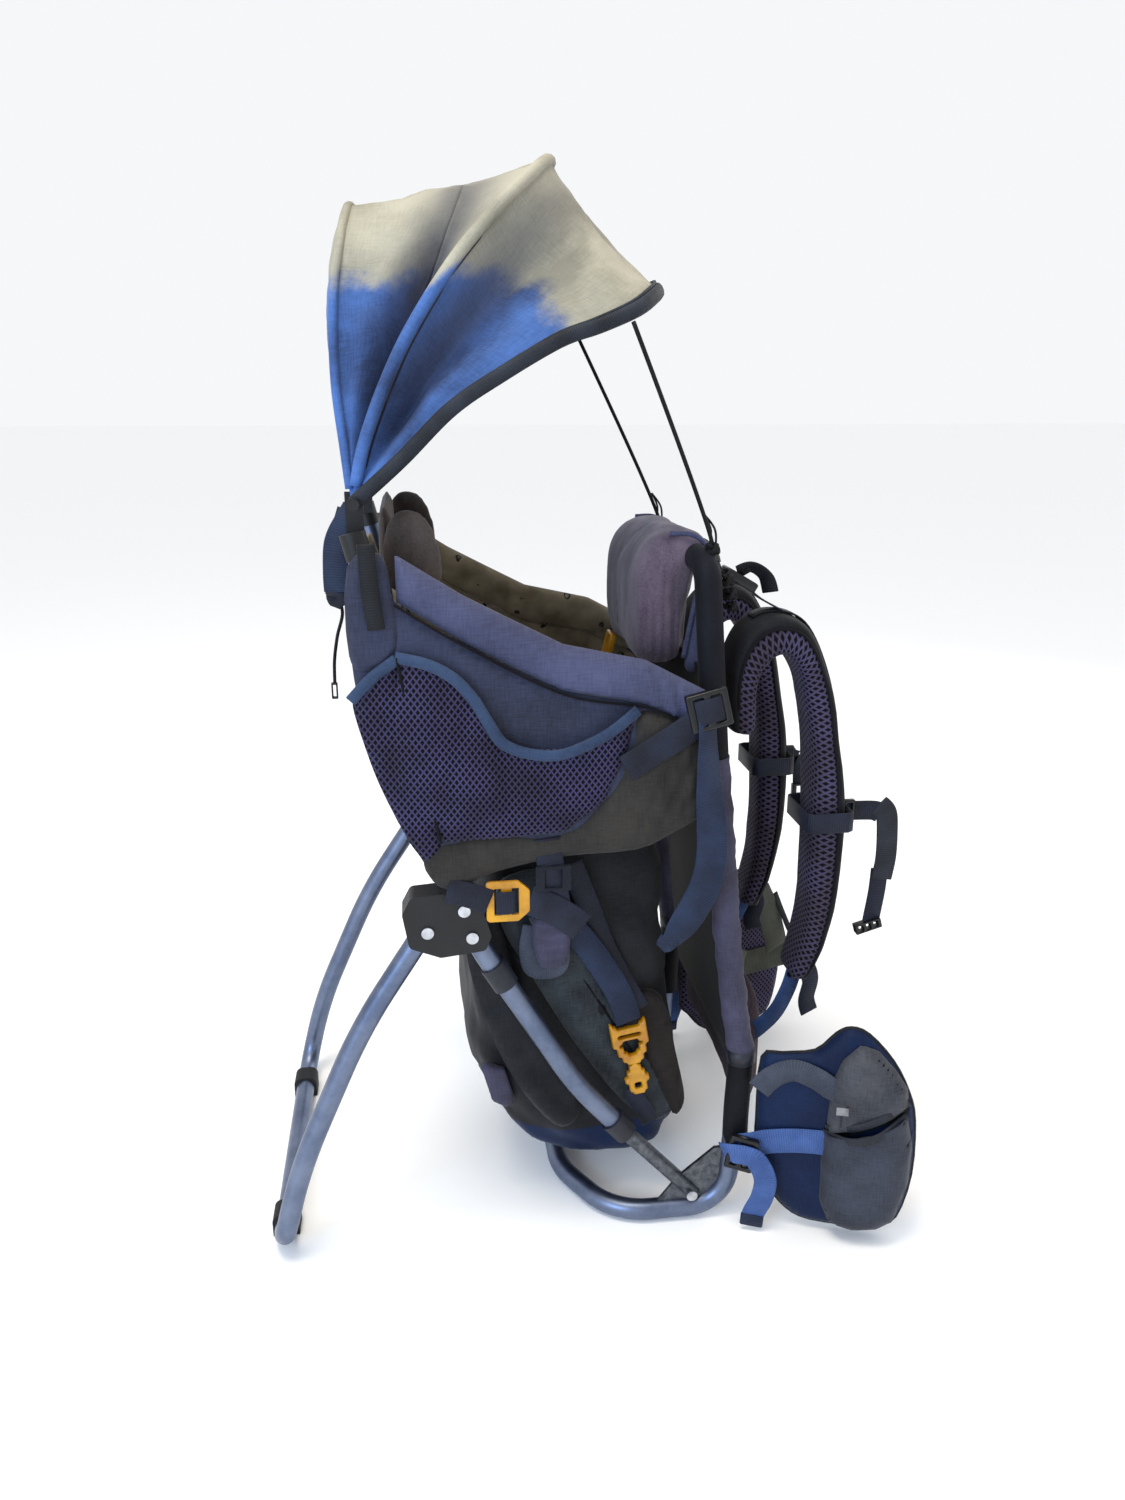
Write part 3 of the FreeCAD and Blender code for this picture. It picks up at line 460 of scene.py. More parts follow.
def spacer_mesh(name, yarn, hole, glow, wide=4.6, tall=6.4, open_part=0.5):
    """Knitted spacer mesh: diamond holes, wide by tall millimetres apart, dark inside, in soft yarn.
    The holes are drawn about twice as coarse as real ones."""
    material, tree, shader = start(name, {"Roughness": 0.85, "Sheen Weight": 0.06, "Sheen Roughness": 0.4,
                                          "Specular IOR Level": 0.1})
    places = add(tree, "TexCoord").outputs
    u = add(tree, "SeparateXYZ", {0: places["UV"]}).outputs
    a = add(tree, "Math", {0: u[0], 1: 1000 / wide}, operation="MULTIPLY").outputs[0]
    b = add(tree, "Math", {0: u[1], 1: 1000 / tall}, operation="MULTIPLY").outputs[0]
    slants = []
    for way in ("ADD", "SUBTRACT"):
        slant = add(tree, "Math", {0: a, 1: b}, operation=way).outputs[0]
        turned = add(tree, "Math", {0: slant, 1: math.pi}, operation="MULTIPLY").outputs[0]
        wave = add(tree, "Math", {0: turned}, operation="SINE").outputs[0]
        slants.append(add(tree, "Math", {0: wave}, operation="ABSOLUTE").outputs[0])
    gap = add(tree, "Math", {0: slants[0], 1: slants[1]}, operation="MINIMUM").outputs[0]
    open_at = add(tree, "MapRange", {"Value": gap, "From Min": open_part,
                                     "From Max": open_part + 0.22}).outputs[0]
    broad = grain(tree, places["Object"], (22,) * 3, 3.0)
    knit = ramp(tree, broad, [(0.35, yarn), (0.65, glow)])
    colour = add(tree, "Mix", {"Factor": open_at, 6: knit, 7: hue(hole)}, data_type="RGBA")
    tree.links.new(colour.outputs[2], shader.inputs["Base Color"])
    sunk = add(tree, "Math", {0: 1.0, 1: open_at}, operation="SUBTRACT").outputs[0]
    bump = add(tree, "Bump", {"Height": sunk, "Strength": 0.9, "Distance": 0.0012})
    tree.links.new(bump.outputs[0], shader.inputs["Normal"])
    return material


def fleece(name, light, dark):
    """Brushed fleece: a soft, blurred nap with a pale sheen at its edges."""
    material, tree, shader = start(name, {"Roughness": 0.95, "Sheen Weight": 0.2, "Sheen Roughness": 0.6,
                                          "Specular IOR Level": 0.08})
    places = add(tree, "TexCoord").outputs
    nap = grain(tree, places["Object"], (420,) * 3, 4.0, 0.7)
    brushed = grain(tree, places["Object"], (26, 26, 9), 3.0)
    tone = add(tree, "Math", {0: nap, 1: 0.35, 2: brushed}, operation="MULTIPLY_ADD").outputs[0]
    tree.links.new(ramp(tree, tone, [(0.55, dark), (0.82, light)]), shader.inputs["Base Color"])
    bump = add(tree, "Bump", {"Height": nap, "Strength": 0.5, "Distance": 0.0008})
    tree.links.new(bump.outputs[0], shader.inputs["Normal"])
    return material


def moulded(name, light, dark, rough=0.42, texture=900.0, relief=0.00008, coat=0.0):
    """Moulded plastic or rubber: a fine mould grain and faint handling marks."""
    material, tree, shader = start(name, {"Coat Weight": coat, "Coat Roughness": 0.3, "IOR": 1.49,
                                          "Specular IOR Level": 0.4})
    places = add(tree, "TexCoord").outputs
    pores = grain(tree, places["Object"], (texture,) * 3, 2.0)
    marks = grain(tree, places["Object"], (45,) * 3, 4.0)
    tree.links.new(ramp(tree, marks, [(0.35, dark), (0.7, light)]), shader.inputs["Base Color"])
    gloss = add(tree, "MapRange", {"Value": marks, "To Min": rough - 0.08, "To Max": rough + 0.12})
    tree.links.new(gloss.outputs[0], shader.inputs["Roughness"])
    bump = add(tree, "Bump", {"Height": pores, "Strength": 0.4, "Distance": relief})
    tree.links.new(bump.outputs[0], shader.inputs["Normal"])
    return material


def metal(name, light, dark, rough, marks=(60, 60, 60), relief=0.0001):
    """Bare metal: a drawn or pressed surface with scuffs that change its gloss."""
    material, tree, shader = start(name, {"Metallic": 1.0})
    places = add(tree, "TexCoord").outputs
    scuffs = grain(tree, places["Object"], marks, 5.0, 0.65)
    fine = grain(tree, places["Object"], (700, 700, 90), 2.0)
    tree.links.new(ramp(tree, scuffs, [(0.35, dark), (0.62, light)]), shader.inputs["Base Color"])
    gloss = add(tree, "MapRange", {"Value": scuffs, "To Min": rough - 0.08, "To Max": rough + 0.16})
    tree.links.new(gloss.outputs[0], shader.inputs["Roughness"])
    bump = add(tree, "Bump", {"Height": fine, "Strength": 0.3, "Distance": relief})
    tree.links.new(bump.outputs[0], shader.inputs["Normal"])
    return material


def canopy_cloth_painted_light(name, blue, shadow, beige, pale, fold_shade_colour):
    """Waxed cotton canopy cloth, blue at its sides, with painted light turning it beige in patches where it
    faces up, and painted shade darkening it along its folds."""
    material, tree, shader = start(name, {"Roughness": 0.78, "Sheen Weight": 0.05, "Sheen Roughness": 0.5,
                                          "Specular IOR Level": 0.15})
    places = add(tree, "TexCoord").outputs
    warp = grain(tree, places["UV"], (640, 70, 1))
    weft = grain(tree, places["UV"], (70, 640, 1))
    threads = add(tree, "Math", {0: warp, 1: weft}, operation="ADD").outputs[0]
    half = add(tree, "Math", {0: threads, 1: 0.5}, operation="MULTIPLY").outputs[0]
    broad = grain(tree, places["Object"], (13,) * 3, 3.0)
    patches = grain(tree, places["Object"], (30,) * 3, 5.0, 0.65)
    tone = add(tree, "Math", {0: half, 1: 0.4, 2: broad}, operation="MULTIPLY_ADD").outputs[0]
    side = ramp(tree, tone, [(0.5, shadow), (0.85, blue)])
    top = ramp(tree, tone, [(0.5, beige), (0.85, pale)])
    # Painted light: cloth marked as facing up is mixed towards pale beige in place of the warm light that
    # falls on the top.
    roof = add(tree, "Attribute", attribute_name="roof").outputs["Fac"]
    ragged = add(tree, "Math", {0: patches, 1: 0.8, 2: roof}, operation="MULTIPLY_ADD").outputs[0]
    painted_top_light = add(tree, "MapRange", {"Value": ragged, "From Min": 0.62, "From Max": 1.02},
                   interpolation_type="SMOOTHSTEP").outputs[0]
    cloth = add(tree, "Mix", {"Factor": painted_top_light, 6: side, 7: top}, data_type="RGBA").outputs[2]
    # Painted shade: the fold mark darkens the cloth towards the shade colour in its creases.
    fold = add(tree, "Attribute", attribute_name="fold").outputs["Fac"]
    dark = add(tree, "Math", {0: fold, 1: broad}, operation="MULTIPLY").outputs[0]
    dark = add(tree, "MapRange", {"Value": dark, "From Max": 0.5}).outputs[0]
    colour = add(tree, "Mix", {"Factor": dark, 6: cloth, 7: hue(fold_shade_colour)}, data_type="RGBA")
    tree.links.new(colour.outputs[2], shader.inputs["Base Color"])
    creases = add(tree, "Bump", {"Height": patches, "Strength": 0.5, "Distance": 0.004})
    bump = add(tree, "Bump", {"Height": half, "Strength": 0.55, "Distance": 0.0005,
                              "Normal": creases.outputs[0]})
    tree.links.new(bump.outputs[0], shader.inputs["Normal"])
    return material


def printed(name, ground, shade, ink):
    """Brushed cotton lining with a small scattered print of curls and flecks."""
    material, tree, shader = start(name, {"Roughness": 0.9, "Sheen Weight": 0.08, "Specular IOR Level": 0.1})
    places = add(tree, "TexCoord").outputs
    broad = grain(tree, places["Object"], (30,) * 3, 3.0)
    cloth = ramp(tree, broad, [(0.35, shade), (0.65, ground)])
    spread = add(tree, "Mapping", {"Vector": places["Object"], "Scale": (62, 62, 62)})
    bent = add(tree, "TexNoise", {"Vector": spread.outputs[0], "Scale": 1.6, "Detail": 1.0}).outputs["Color"]
    warped = add(tree, "Mix", {"Factor": 0.35, 4: spread.outputs[0], 5: bent}, data_type="VECTOR").outputs[1]
    cells = add(tree, "TexVoronoi", {"Vector": warped, "Scale": 1.0}).outputs["Distance"]
    near = add(tree, "Math", {0: cells, 1: 0.16}, operation="SUBTRACT").outputs[0]
    line = add(tree, "Math", {0: near}, operation="ABSOLUTE").outputs[0]
    drawn = add(tree, "MapRange", {"Value": line, "From Min": 0.05, "From Max": 0.02}).outputs[0]
    colour = add(tree, "Mix", {"Factor": drawn, 6: cloth, 7: hue(ink)}, data_type="RGBA")
    tree.links.new(colour.outputs[2], shader.inputs["Base Color"])
    threads = grain(tree, places["Object"], (520,) * 3)
    bump = add(tree, "Bump", {"Height": threads, "Strength": 0.4, "Distance": 0.0004})
    tree.links.new(bump.outputs[0], shader.inputs["Normal"])
    return material


# Waxed cotton: a close dull weave, blue, with painted light making it beige on the top and painted shade
# darkening its folds.
CANOPY = canopy_cloth_painted_light("waxed_cotton_blue", "476aa8", "2b3a5c", "7a776a", "a19d8d", "3a3b46")
# Nylon lining: flat and nearly black, so that the canopy's inside reads as shade.
CANOPY_LINING = woven("nylon_lining_black", "1d1f25", "121317", sheen=0.015)
# Ribbed polyester binding: dark slate, with a dull gloss along the rim.
BINDING = webbing("polyester_binding_slate", "282d36", "15171c", rib=2.0, rough=0.65)
# Ripstop nylon: grey with a bluish sheen where it bends to the light.
SEAT = woven("nylon_ripstop_grey", "363b52", "1f212b", sheen=0.09, rough=0.55, mottle=9)
# Padded taffeta: a lighter lilac grey that takes broad soft highlights.
RIM = woven("nylon_taffeta_lilac", "4b4f6c", "303247", sheen=0.075, rough=0.55, mottle=10)
# Plain grey nylon: the flat band below the seat.
VALANCE = woven("nylon_plain_grey", "35322f", "201e1d", sheen=0.045, rough=0.65)
# Polyester bag cloth: almost black, with grey-green bloom over its folds.
BAG = woven("polyester_bag_black", "212226", "0c0c0f", sheen=0.045, rough=0.6, mottle=11)
# Polyester bag cloth in dull brown: the lower panel, with hardly any gloss.
BAG_BROWN = woven("polyester_bag_brown", "282320", "151211", sheen=0.045, rough=0.65, mottle=14)
# Nylon tube wrap: dark navy, dull and close to black in shade.
NAVY_CLOTH = woven("nylon_wrap_navy", "16171f", "0b0b11", sheen=0.03, rough=0.7, mottle=20)
# Polyester bag cloth in slate, lighter than the bag as a painted sheen on its near panel; smoother, so that
# its folds also take a soft bluish light.
BAG_PAINTED_SHEEN = woven("polyester_bag_grey", "333b40", "17191d", sheen=0.09, rough=0.5, mottle=14)
# Knitted spacer mesh: lilac yarn round small dark holes.
POCKET_MESH = spacer_mesh("spacer_mesh_lilac", "2f2c42", "07060b", "3f3b5e", wide=6.0, tall=8.0,
                          open_part=0.42)
# Thicker spacer mesh on the pads: mauve yarn, with large soft holes.
PAD_MESH = spacer_mesh("spacer_mesh_mauve", "3b3443", "09070c", "45405c", wide=7.0, tall=8.0, open_part=0.46)
# Fine spacer mesh on the lumbar pad: plum, its holes smaller and paler.
LUMBAR_MESH = spacer_mesh("spacer_mesh_plum", "3a2a33", "120d11", "473844", wide=4.0, tall=4.4,
                          open_part=0.46)
# Brushed fleece: mauve, with a pale nap that catches light at its edges.
FLEECE = fleece("brushed_fleece_mauve", "6a5c6b", "372e3d")
# The same fleece in taupe: darker and warmer round the headrest.
HEAD_FLEECE = fleece("brushed_fleece_taupe", "544a46", "332c29")
# Cotton lining: warm beige with a scattered fine print.
LINING = printed("cotton_print_beige", "8c826e", "655c4a", "24221d")
# Cordura nylon: the harness's black outer face, slightly rough.
HARNESS = woven("cordura_black", "1c1d22", "0c0c0f", sheen=0.03, rough=0.7)
# Cordura in deep blue: a smoother coat that shines a little along the fin's edges.
FIN = woven("cordura_navy", "0e2244", "06102a", sheen=0.045, rough=0.55, mottle=10)
# Coated nylon pocket: mid grey with soft light over its crumples.
POCKET = woven("nylon_pocket_grey", "393d49", "23252c", sheen=0.06, rough=0.6)
# The same nylon, painted paler as a lit copy for the flap that faces up.
POCKET_PAINTED_LIT = woven("nylon_pocket_lit", "4a4b50", "2b2e36", sheen=0.06, rough=0.6, mottle=20)
# Nylon edge trim: steel blue and flat.
BLUE_TRIM = woven("nylon_trim_steel", "33435e", "202b41", sheen=0.06, rough=0.6)
# Stretch nylon sleeve: lilac grey, drawn tight and dull over the tubes.
SLEEVE = woven("nylon_sleeve_lilac", "454459", "2f2d3a", sheen=0.045, rough=0.6)
# The same sleeve in black, for the tubes' boots.
SLEEVE_BLACK = woven("nylon_sleeve_black", "101118", "08080c", sheen=0.03, rough=0.6)
# Warp-knitted net and thread: black and without gloss.
NET = woven("warp_knit_black", "131217", "08080a", sheen=0.03, rough=0.8)
# Nylon webbing: close ribs across, navy, grey or olive, a little shiny on the ribs.
NAVY = webbing("nylon_webbing_navy", "1d2233", "0e1019")
# The same webbing in bright and dark blues, slate, grey, steel, olive and black, more or less worn.
BLUE_WEB = webbing("nylon_webbing_blue", "2a4575", "182c52")
BLUE_DARK = webbing("nylon_webbing_dark_blue", "202d46", "121a2e")
GREY_DARK = webbing("nylon_webbing_slate", "272a33", "181a20")
NAVY_SOFT = webbing("nylon_webbing_keeper", "181d2a", "0c0e16")
GREY_WEB = webbing("nylon_webbing_grey", "424856", "2d323e")
PALE_WEB = webbing("nylon_webbing_steel", "45619a", "2f4678")
OLIVE_WEB = webbing("nylon_webbing_olive", "393c33", "24261f")
BLACK_WEB = webbing("nylon_webbing_black", "14151a", "0a0a0d")
# Braided elastic: black, round and dull.
ELASTIC = webbing("braided_elastic_black", "121215", "070709", rib=2.2, rough=0.7)
# Glass-filled nylon: a matt black shell with a coarse mould grain.
SHELL = moulded("glass_filled_nylon_black", "131315", "0a0a0c", rough=0.5)
# Acetal: a smooth black with a soft gloss at its edges.
BUCKLE = moulded("acetal_black", "0f1014", "07070a", rough=0.3)
# Acetal in deep yellow: bright, with a thin glossy skin.
YELLOW = moulded("acetal_yellow", "cf950c", "a26b05", rough=0.3, coat=0.3)
# Polypropylene collar: navy, with a waxy half gloss.
COLLAR = moulded("polypropylene_navy", "20232f", "13151e", rough=0.45)
# Moulded rubber: charcoal, matt and slightly grainy.
RUBBER = moulded("moulded_rubber_black", "191a1d", "0e0f12", rough=0.7, texture=600)
# Glass-fibre rod: dark grey, smooth and faintly shiny.
ROD = moulded("glass_fibre_grey", "2a2c32", "191b1f", rough=0.35)
# Drawn aluminium tube: blue-grey metal with broad soft scuffs.
TUBE = metal("drawn_aluminium", "747e94", "5d6880", rough=0.36, marks=(25, 25, 25))
# Pressed aluminium plate: greyer and rougher, with fine scratches.
PLATE = metal("pressed_aluminium", "6c7076", "45484e", rough=0.45, marks=(120, 120, 120), relief=0.0003)
# Nickel-plated steel: the brightest metal, on screw and bolt heads.
STEEL = metal("nickel_plated_steel", "c9cbd0", "9b9da3", rough=0.26)
# Cast zinc: a dull grey metal slider.
ZINC = metal("zinc_zip", "8b8d92", "5c5e63", rough=0.4)


# ---- camera, light and floor ---------------------------------------------------------------------

def studio():
    camera = bpy.data.objects.new("camera", bpy.data.cameras.new("camera"))
    bpy.context.collection.objects.link(camera)
    camera.location = (-0.19, -1.174, 0.86)
    camera.rotation_euler = tuple(math.radians(a) for a in (72.7, 0, -7.65))
    camera.data.lens = 27
    bpy.context.scene.camera = camera
    bpy.context.scene.view_settings.view_transform = "Standard"

    world = bpy.data.worlds.new("studio")
    world.use_nodes = True
    world.node_tree.nodes["Background"].inputs[0].default_value = (0.97, 0.98, 1.0, 1)
    world.node_tree.nodes["Background"].inputs[1].default_value = 0.95
    bpy.context.scene.world = world
    for name, place, aim, size, power, colour in (
            ("roof_light", (-0.5, -0.5, 2.6), (0, 0, 0.6), 1.0, 36, (1.0, 0.93, 0.80)),
            ("window_light", (-1.9, -2.2, 1.3), (0, 0, 0.5), 1.2, 44, (0.52, 0.72, 1.0)),
            ("far_light", (1.9, 1.6, 1.6), (0, 0, 0.5), 1.2, 10, (1.0, 0.97, 0.92))):
        lamp = bpy.data.lights.new(name, "AREA")
        lamp.size, lamp.energy, lamp.color = size, power, colour
        light = bpy.data.objects.new(name, lamp)
        bpy.context.collection.objects.link(light)
        light.location = place
        light.rotation_euler = (Vector(place) - Vector(aim)).to_track_quat("Z", "Y").to_euler()

    floor_finish = bpy.data.materials.new("studio_floor")
    floor_finish.use_nodes = True
    shader = floor_finish.node_tree.nodes["Principled BSDF"]
    shader.inputs["Base Color"].default_value = (0.97, 0.97, 0.97, 1)
    shader.inputs["Roughness"].default_value = 0.9
    mesh = bpy.data.meshes.new("studio_floor")
    mesh.from_pydata([(-40, -40, -0.001), (40, -40, -0.001), (40, 40, -0.001), (-40, 40, -0.001)], [],
                     [(0, 1, 2, 3)])
    mesh.materials.append(floor_finish)
    floor = bpy.data.objects.new("studio_floor", mesh)
    bpy.context.collection.objects.link(floor)


studio()


# ---- canopy --------------------------------------------------------------------------------------

PIN = Vector((-0.238, 0, 0.773))
HEAD = Vector((-0.12, 0, 0.84))
FRONT_RIM = [(-238, 158, 773), (-195, 160, 810), (-151, 162, 852), (-108, 163, 880), (-56, 163, 909),
             (-21, 161, 921), (13, 152, 935), (34, 124, 948), (50, 72, 958), (60, 0, 963)]
RIDGE = [(-239, 152, 772), (-226, 151, 827), (-193, 149, 901), (-148, 146, 969), (-106, 138, 1016),
         (-76, 116, 1045), (-55, 66, 1066), (-45, 0, 1073)]
REAR_EDGE = [(-240, 146, 773), (-244, 143, 817), (-249, 138, 877), (-247, 131, 942), (-239, 116, 992),
             (-234, 84, 1018), (-232, 40, 1028), (-232, 0, 1030)]
ALONG = 121


def hoop(half):
    """A hoop's whole line from its right pivot over the top to its left one, evenly spaced."""
    right = mm(half, -1)
    left = mm(half)
    return even(smooth(right + left[-2::-1], 12), ALONG)


def rise(i):
    """How far up its side a hoop's point is: 0 at either pivot, 1 at the middle of the top."""
    return 1 - abs(2 * i / (ALONG - 1) - 1)


def cloth_point(a, b, up, t, valley, dent, top_sag, seed):
    """A point of cloth between two hoops, drawn in towards a long valley, and how deep in it this lies, which
    weighs the painted shade there.
    """
    p = a.lerp(b, t)
    inward = (HEAD - p).normalized()
    side = ease(up, 0.0, 0.22) * (1 - ease(up, 0.52, 0.82))
    held = math.sin(math.pi * min(max(t, 0), 1))
    trough = math.exp(-((t - valley) / 0.2) ** 2)
    pull = dent * side * (0.35 * held + 0.65 * trough * held ** 0.5)
    pull += top_sag * ease(up, 0.6, 0.95) * held ** 0.7
    pull += 0.006 * side * held * math.sin(9 * t + 3.2 * up + seed)
    pull += wrinkle(p + Vector((seed, 0, 0)), 0.055, 0.0042) * held ** 0.5 * ease(up, 0.05, 0.3)
    pull += wrinkle(p + Vector((0, seed, 0)), 0.022, 0.0013) * held ** 0.5 * ease(up, 0.1, 0.4)
    # The second value is the weight of painted shade in the valley.
    return p + inward * pull, trough * held ** 0.5 * ease(up, 0.05, 0.3) * (1 - 0.75 * ease(up, 0.5, 0.95))


def canopy_rows(front, rear, low, high, count, shape):
    """Rows of cloth between two hoops, from low to high of the way across at each place round them, with each
    point's weight of painted fold shade.
    """
    rows, fold_shade = [], []
    for k in range(count):
        row = []
        for i, (a, b) in enumerate(zip(front, rear)):
            point, fold = cloth_point(a, b, rise(i), low[i] + (high[i] - low[i]) * k / (count - 1), *shape)
            row.append(point)
            fold_shade.append(fold)
        rows.append(row)
    return rows, fold_shade


# The rear cloth creases here as the canopy folds: a plane through the pivots, leaning 22 degrees forward.
CREASE_AIM = Vector((math.cos(math.radians(22)), 0, -math.sin(math.radians(22))))
CREASE_TURN = ("root", "canopy_front", PIN - CREASE_AIM * 0.075, PIN + CREASE_AIM * 0.0657)


def crease_places(front, rear, shape):
    """How far across the rear cloth its crease lies, at each place round the hoops."""
    places = []
    for i, (a, b) in enumerate(zip(front, rear)):
        across = np.linspace(0.03, 0.97, 95)
        ahead = [(cloth_point(a, b, rise(i), t, *shape)[0] - PIN).dot(CREASE_AIM) for t in across]
        behind = [t for t, x in zip(across, ahead) if x <= 0]
        places.append(behind[0] if behind else 0.97)
    return [sum(places[max(i - 2, 0):i + 3]) / len(places[max(i - 2, 0):i + 3]) for i in range(len(places))]


def mark_cloth(obj, fold_shade=()):
    """Marks how far each point of cloth faces the sky, by its height and how far forward it lies, for painted
    light on the top, and how deep in a fold it lies, for painted shade.
    """
    if len(fold_shade):
        obj.data.attributes.new("fold", "FLOAT", "POINT")
        obj.data.attributes["fold"].data.foreach_set("value", list(fold_shade) * 2)
    obj.data.attributes.new("roof", "FLOAT", "POINT")
    obj.data.attributes["roof"].data.foreach_set("value", [
        0.85 * max(ease(v.co.z + v.normal.z * 0.02, 0.925, 0.995),
                   ease(v.co.x + (v.co.z - 0.93) * 0.5, -0.12, 0.0))
        for v in obj.data.vertices])
    return obj


def canopy():
    front, ridge, rear = hoop(FRONT_RIM), hoop(RIDGE), hoop(REAR_EDGE)
    aim = Vector((-math.sin(math.radians(45)), 0, math.cos(math.radians(45))))
    turn = ("canopy_front", "canopy_mid", PIN - aim * 0.035, PIN + aim * 0.035)

    start, end = [0.0] * ALONG, [1.0] * ALONG
    rows, fold_shade = canopy_rows(front, ridge, start, end, 41, (0.80, 0.044, 0.010, 1.3))
    cloth = cloth_sheet("canopy_front_panel", rows, CLOTH_THICK, [CANOPY, CANOPY_LINING], None,
                        ["canopy_front_cover"], turn)
    mark_cloth(cloth, fold_shade)
    shape = (0.36, 0.034, 0.006, 4.1)
    crease = crease_places(ridge, rear, shape)
    rows, fold_shade = canopy_rows(ridge, rear, start, crease, 19, shape)
    cloth = cloth_sheet("canopy_ridge_panel", rows, CLOTH_THICK, [CANOPY, CANOPY_LINING], "canopy_mid")
    mark_cloth(cloth, fold_shade)
    rows, fold_shade = canopy_rows(ridge, rear, crease, end, 31, shape)
    cloth = cloth_sheet("canopy_rear_panel", rows, CLOTH_THICK, [CANOPY, CANOPY_LINING], None,
                        ["canopy_rear_cover"], CREASE_TURN)
    mark_cloth(cloth, fold_shade)

    middle = ALONG // 2
    back = []
    for i in range(3, middle + 1):
        a, b = rear[i], rear[ALONG - 1 - i]
        row = []
        for k in range(31):
            c = k / 30
            p = a.lerp(b, c)
            belly = 0.012 * math.sin(math.pi * c) * math.sin(math.pi * (i - 3) / (middle - 3))
            row.append(p - Vector((belly + wrinkle(p, 0.06, 0.003) * math.sin(math.pi * c), 0, 0)))
        back.append(row)
    back[-1] = [p.lerp(q, 0.02) for p, q in zip(back[-1], back[-2])]
    cloth = cloth_sheet("canopy_back_panel", back[::-1], CLOTH_THICK, [CANOPY, CANOPY_LINING], "root")
    mark_cloth(cloth)

    def inner(line, gap):
        return [p + (HEAD - p).normalized() * gap for p in line]

    tube("canopy_front_rim", inner(front, 0.001), 0.0066, BINDING, None,
         ["canopy_front_hoop"], blend=turn, squash=0.55)
    tube("canopy_rim_seam", [p.lerp(q, 0.055) for p, q in zip(front, ridge)], 0.0016, BINDING, None,
         blend=turn, sides=PIPING_SIDES)
    tube("canopy_ridge_rod", inner(ridge, 0.009), 0.004, ROD, "canopy_mid", ["canopy_mid_hoop"])
    sleeve = tube("canopy_ridge_sleeve", inner(ridge, 0.002)[2:-2], 0.0056, CANOPY, "canopy_mid")
    mark_cloth(sleeve)
    tube("canopy_rear_rod", inner(rear, 0.009), 0.004, ROD, "root", ["canopy_rear_hoop"])
    sleeve = tube("canopy_rear_sleeve", inner(rear, 0.001)[2:-2], 0.0042, CANOPY, "root")
    mark_cloth(sleeve)


canopy()


# ---- canopy cords --------------------------------------------------------------------------------

CORD_ROUTE = [(8, 158, 924), (92, 121, 747), (96, 119, 728)]


def spline_points(points):
    """The line of a NURBS spline that these points control."""
    curve = bpy.data.curves.new("route", "CURVE")
    curve.dimensions = "3D"
    curve.resolution_u = 24
    spline = curve.splines.new("NURBS")
    spline.points.add(len(points) - 1)
    for control, p in zip(spline.points, points):
        control.co = (*p, 1)
    spline.order_u = 3
    spline.use_endpoint_u = True
    holder = bpy.data.objects.new("route", curve)
    line = [v.co.copy() for v in bpy.data.meshes.new_from_object(holder).vertices]
    bpy.data.objects.remove(holder)
    return line


def canopy_cords():
    for name, side in SIDES:
        route = mm(CORD_ROUTE, side)
        line = spline_points(route)
        turn = ("root", "canopy_front", line[-1], line[0])
        cord = tube("canopy_cord_" + name + "_elastic", line, 0.002, ELASTIC, None,
                    ["canopy_cord_" + name], sides=12, blend=turn)
        # The lower end is knotted to the frame's top in a doubled loop.
        low = line[-1]
        for k, shift in enumerate((-1, 1)):
            strand = [low + Vector((-0.010, -side * 0.004, 0.030)), low + Vector((0.002 * shift, 0, 0.014)),
                      low + Vector((0.003 * shift, 0, -0.006)), low + Vector((0.001, 0, -0.016))]
            tube("canopy_cord_%s_loop%d" % (name, k), smooth(strand), 0.0011, ELASTIC, "root")
        for k, (ahead, drop, size) in enumerate(((0.001, -0.004, 0.0062), (0.001, -0.021, 0.0085),
                                                 (0.016, -0.034, 0.0070), (0.020, -0.048, 0.0064),
                                                 (0.022, -0.060, 0.0050))):
            turns = [low + Vector((ahead, 0, drop)) + size * Vector((
                (math.sin(a) + 2 * math.sin(2 * a)) / 3, (math.cos(a) - 2 * math.cos(2 * a)) / 3,
                -math.sin(3 * a) * 0.6)) for a in (2 * math.pi * i / 72 for i in range(72))]
            tube("canopy_cord_%s_knot%d" % (name, k), turns, 0.0022, ELASTIC, "root",
                 sides=PIPING_SIDES)


canopy_cords()


# ---- frame, stand and hardware -------------------------------------------------------------------

HARD = (
    (TUBE, "base_loop kickstand_tube strut_left strut_right top_crossbar upright_left upright_right"),
    (PLATE, "gusset_plates strut_ends"),
    (STEEL, "gusset_bolts bracket_screws"),
    (SHELL, "bracket_inner_halves bracket_outer_halves canopy_sockets"),
    (COLLAR, "strut_collars"),
    (RUBBER, "kickstand_feet"),
    (YELLOW, "compression_locks"),
    (ZINC, "hip_zip_slider"),
)


def refinish_hardware():
    for finish, nodes in HARD:
        for name in nodes.split():
            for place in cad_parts[name].material_slots:
                place.material = finish


refinish_hardware()


# ---- hard pieces made new ------------------------------------------------------------------------

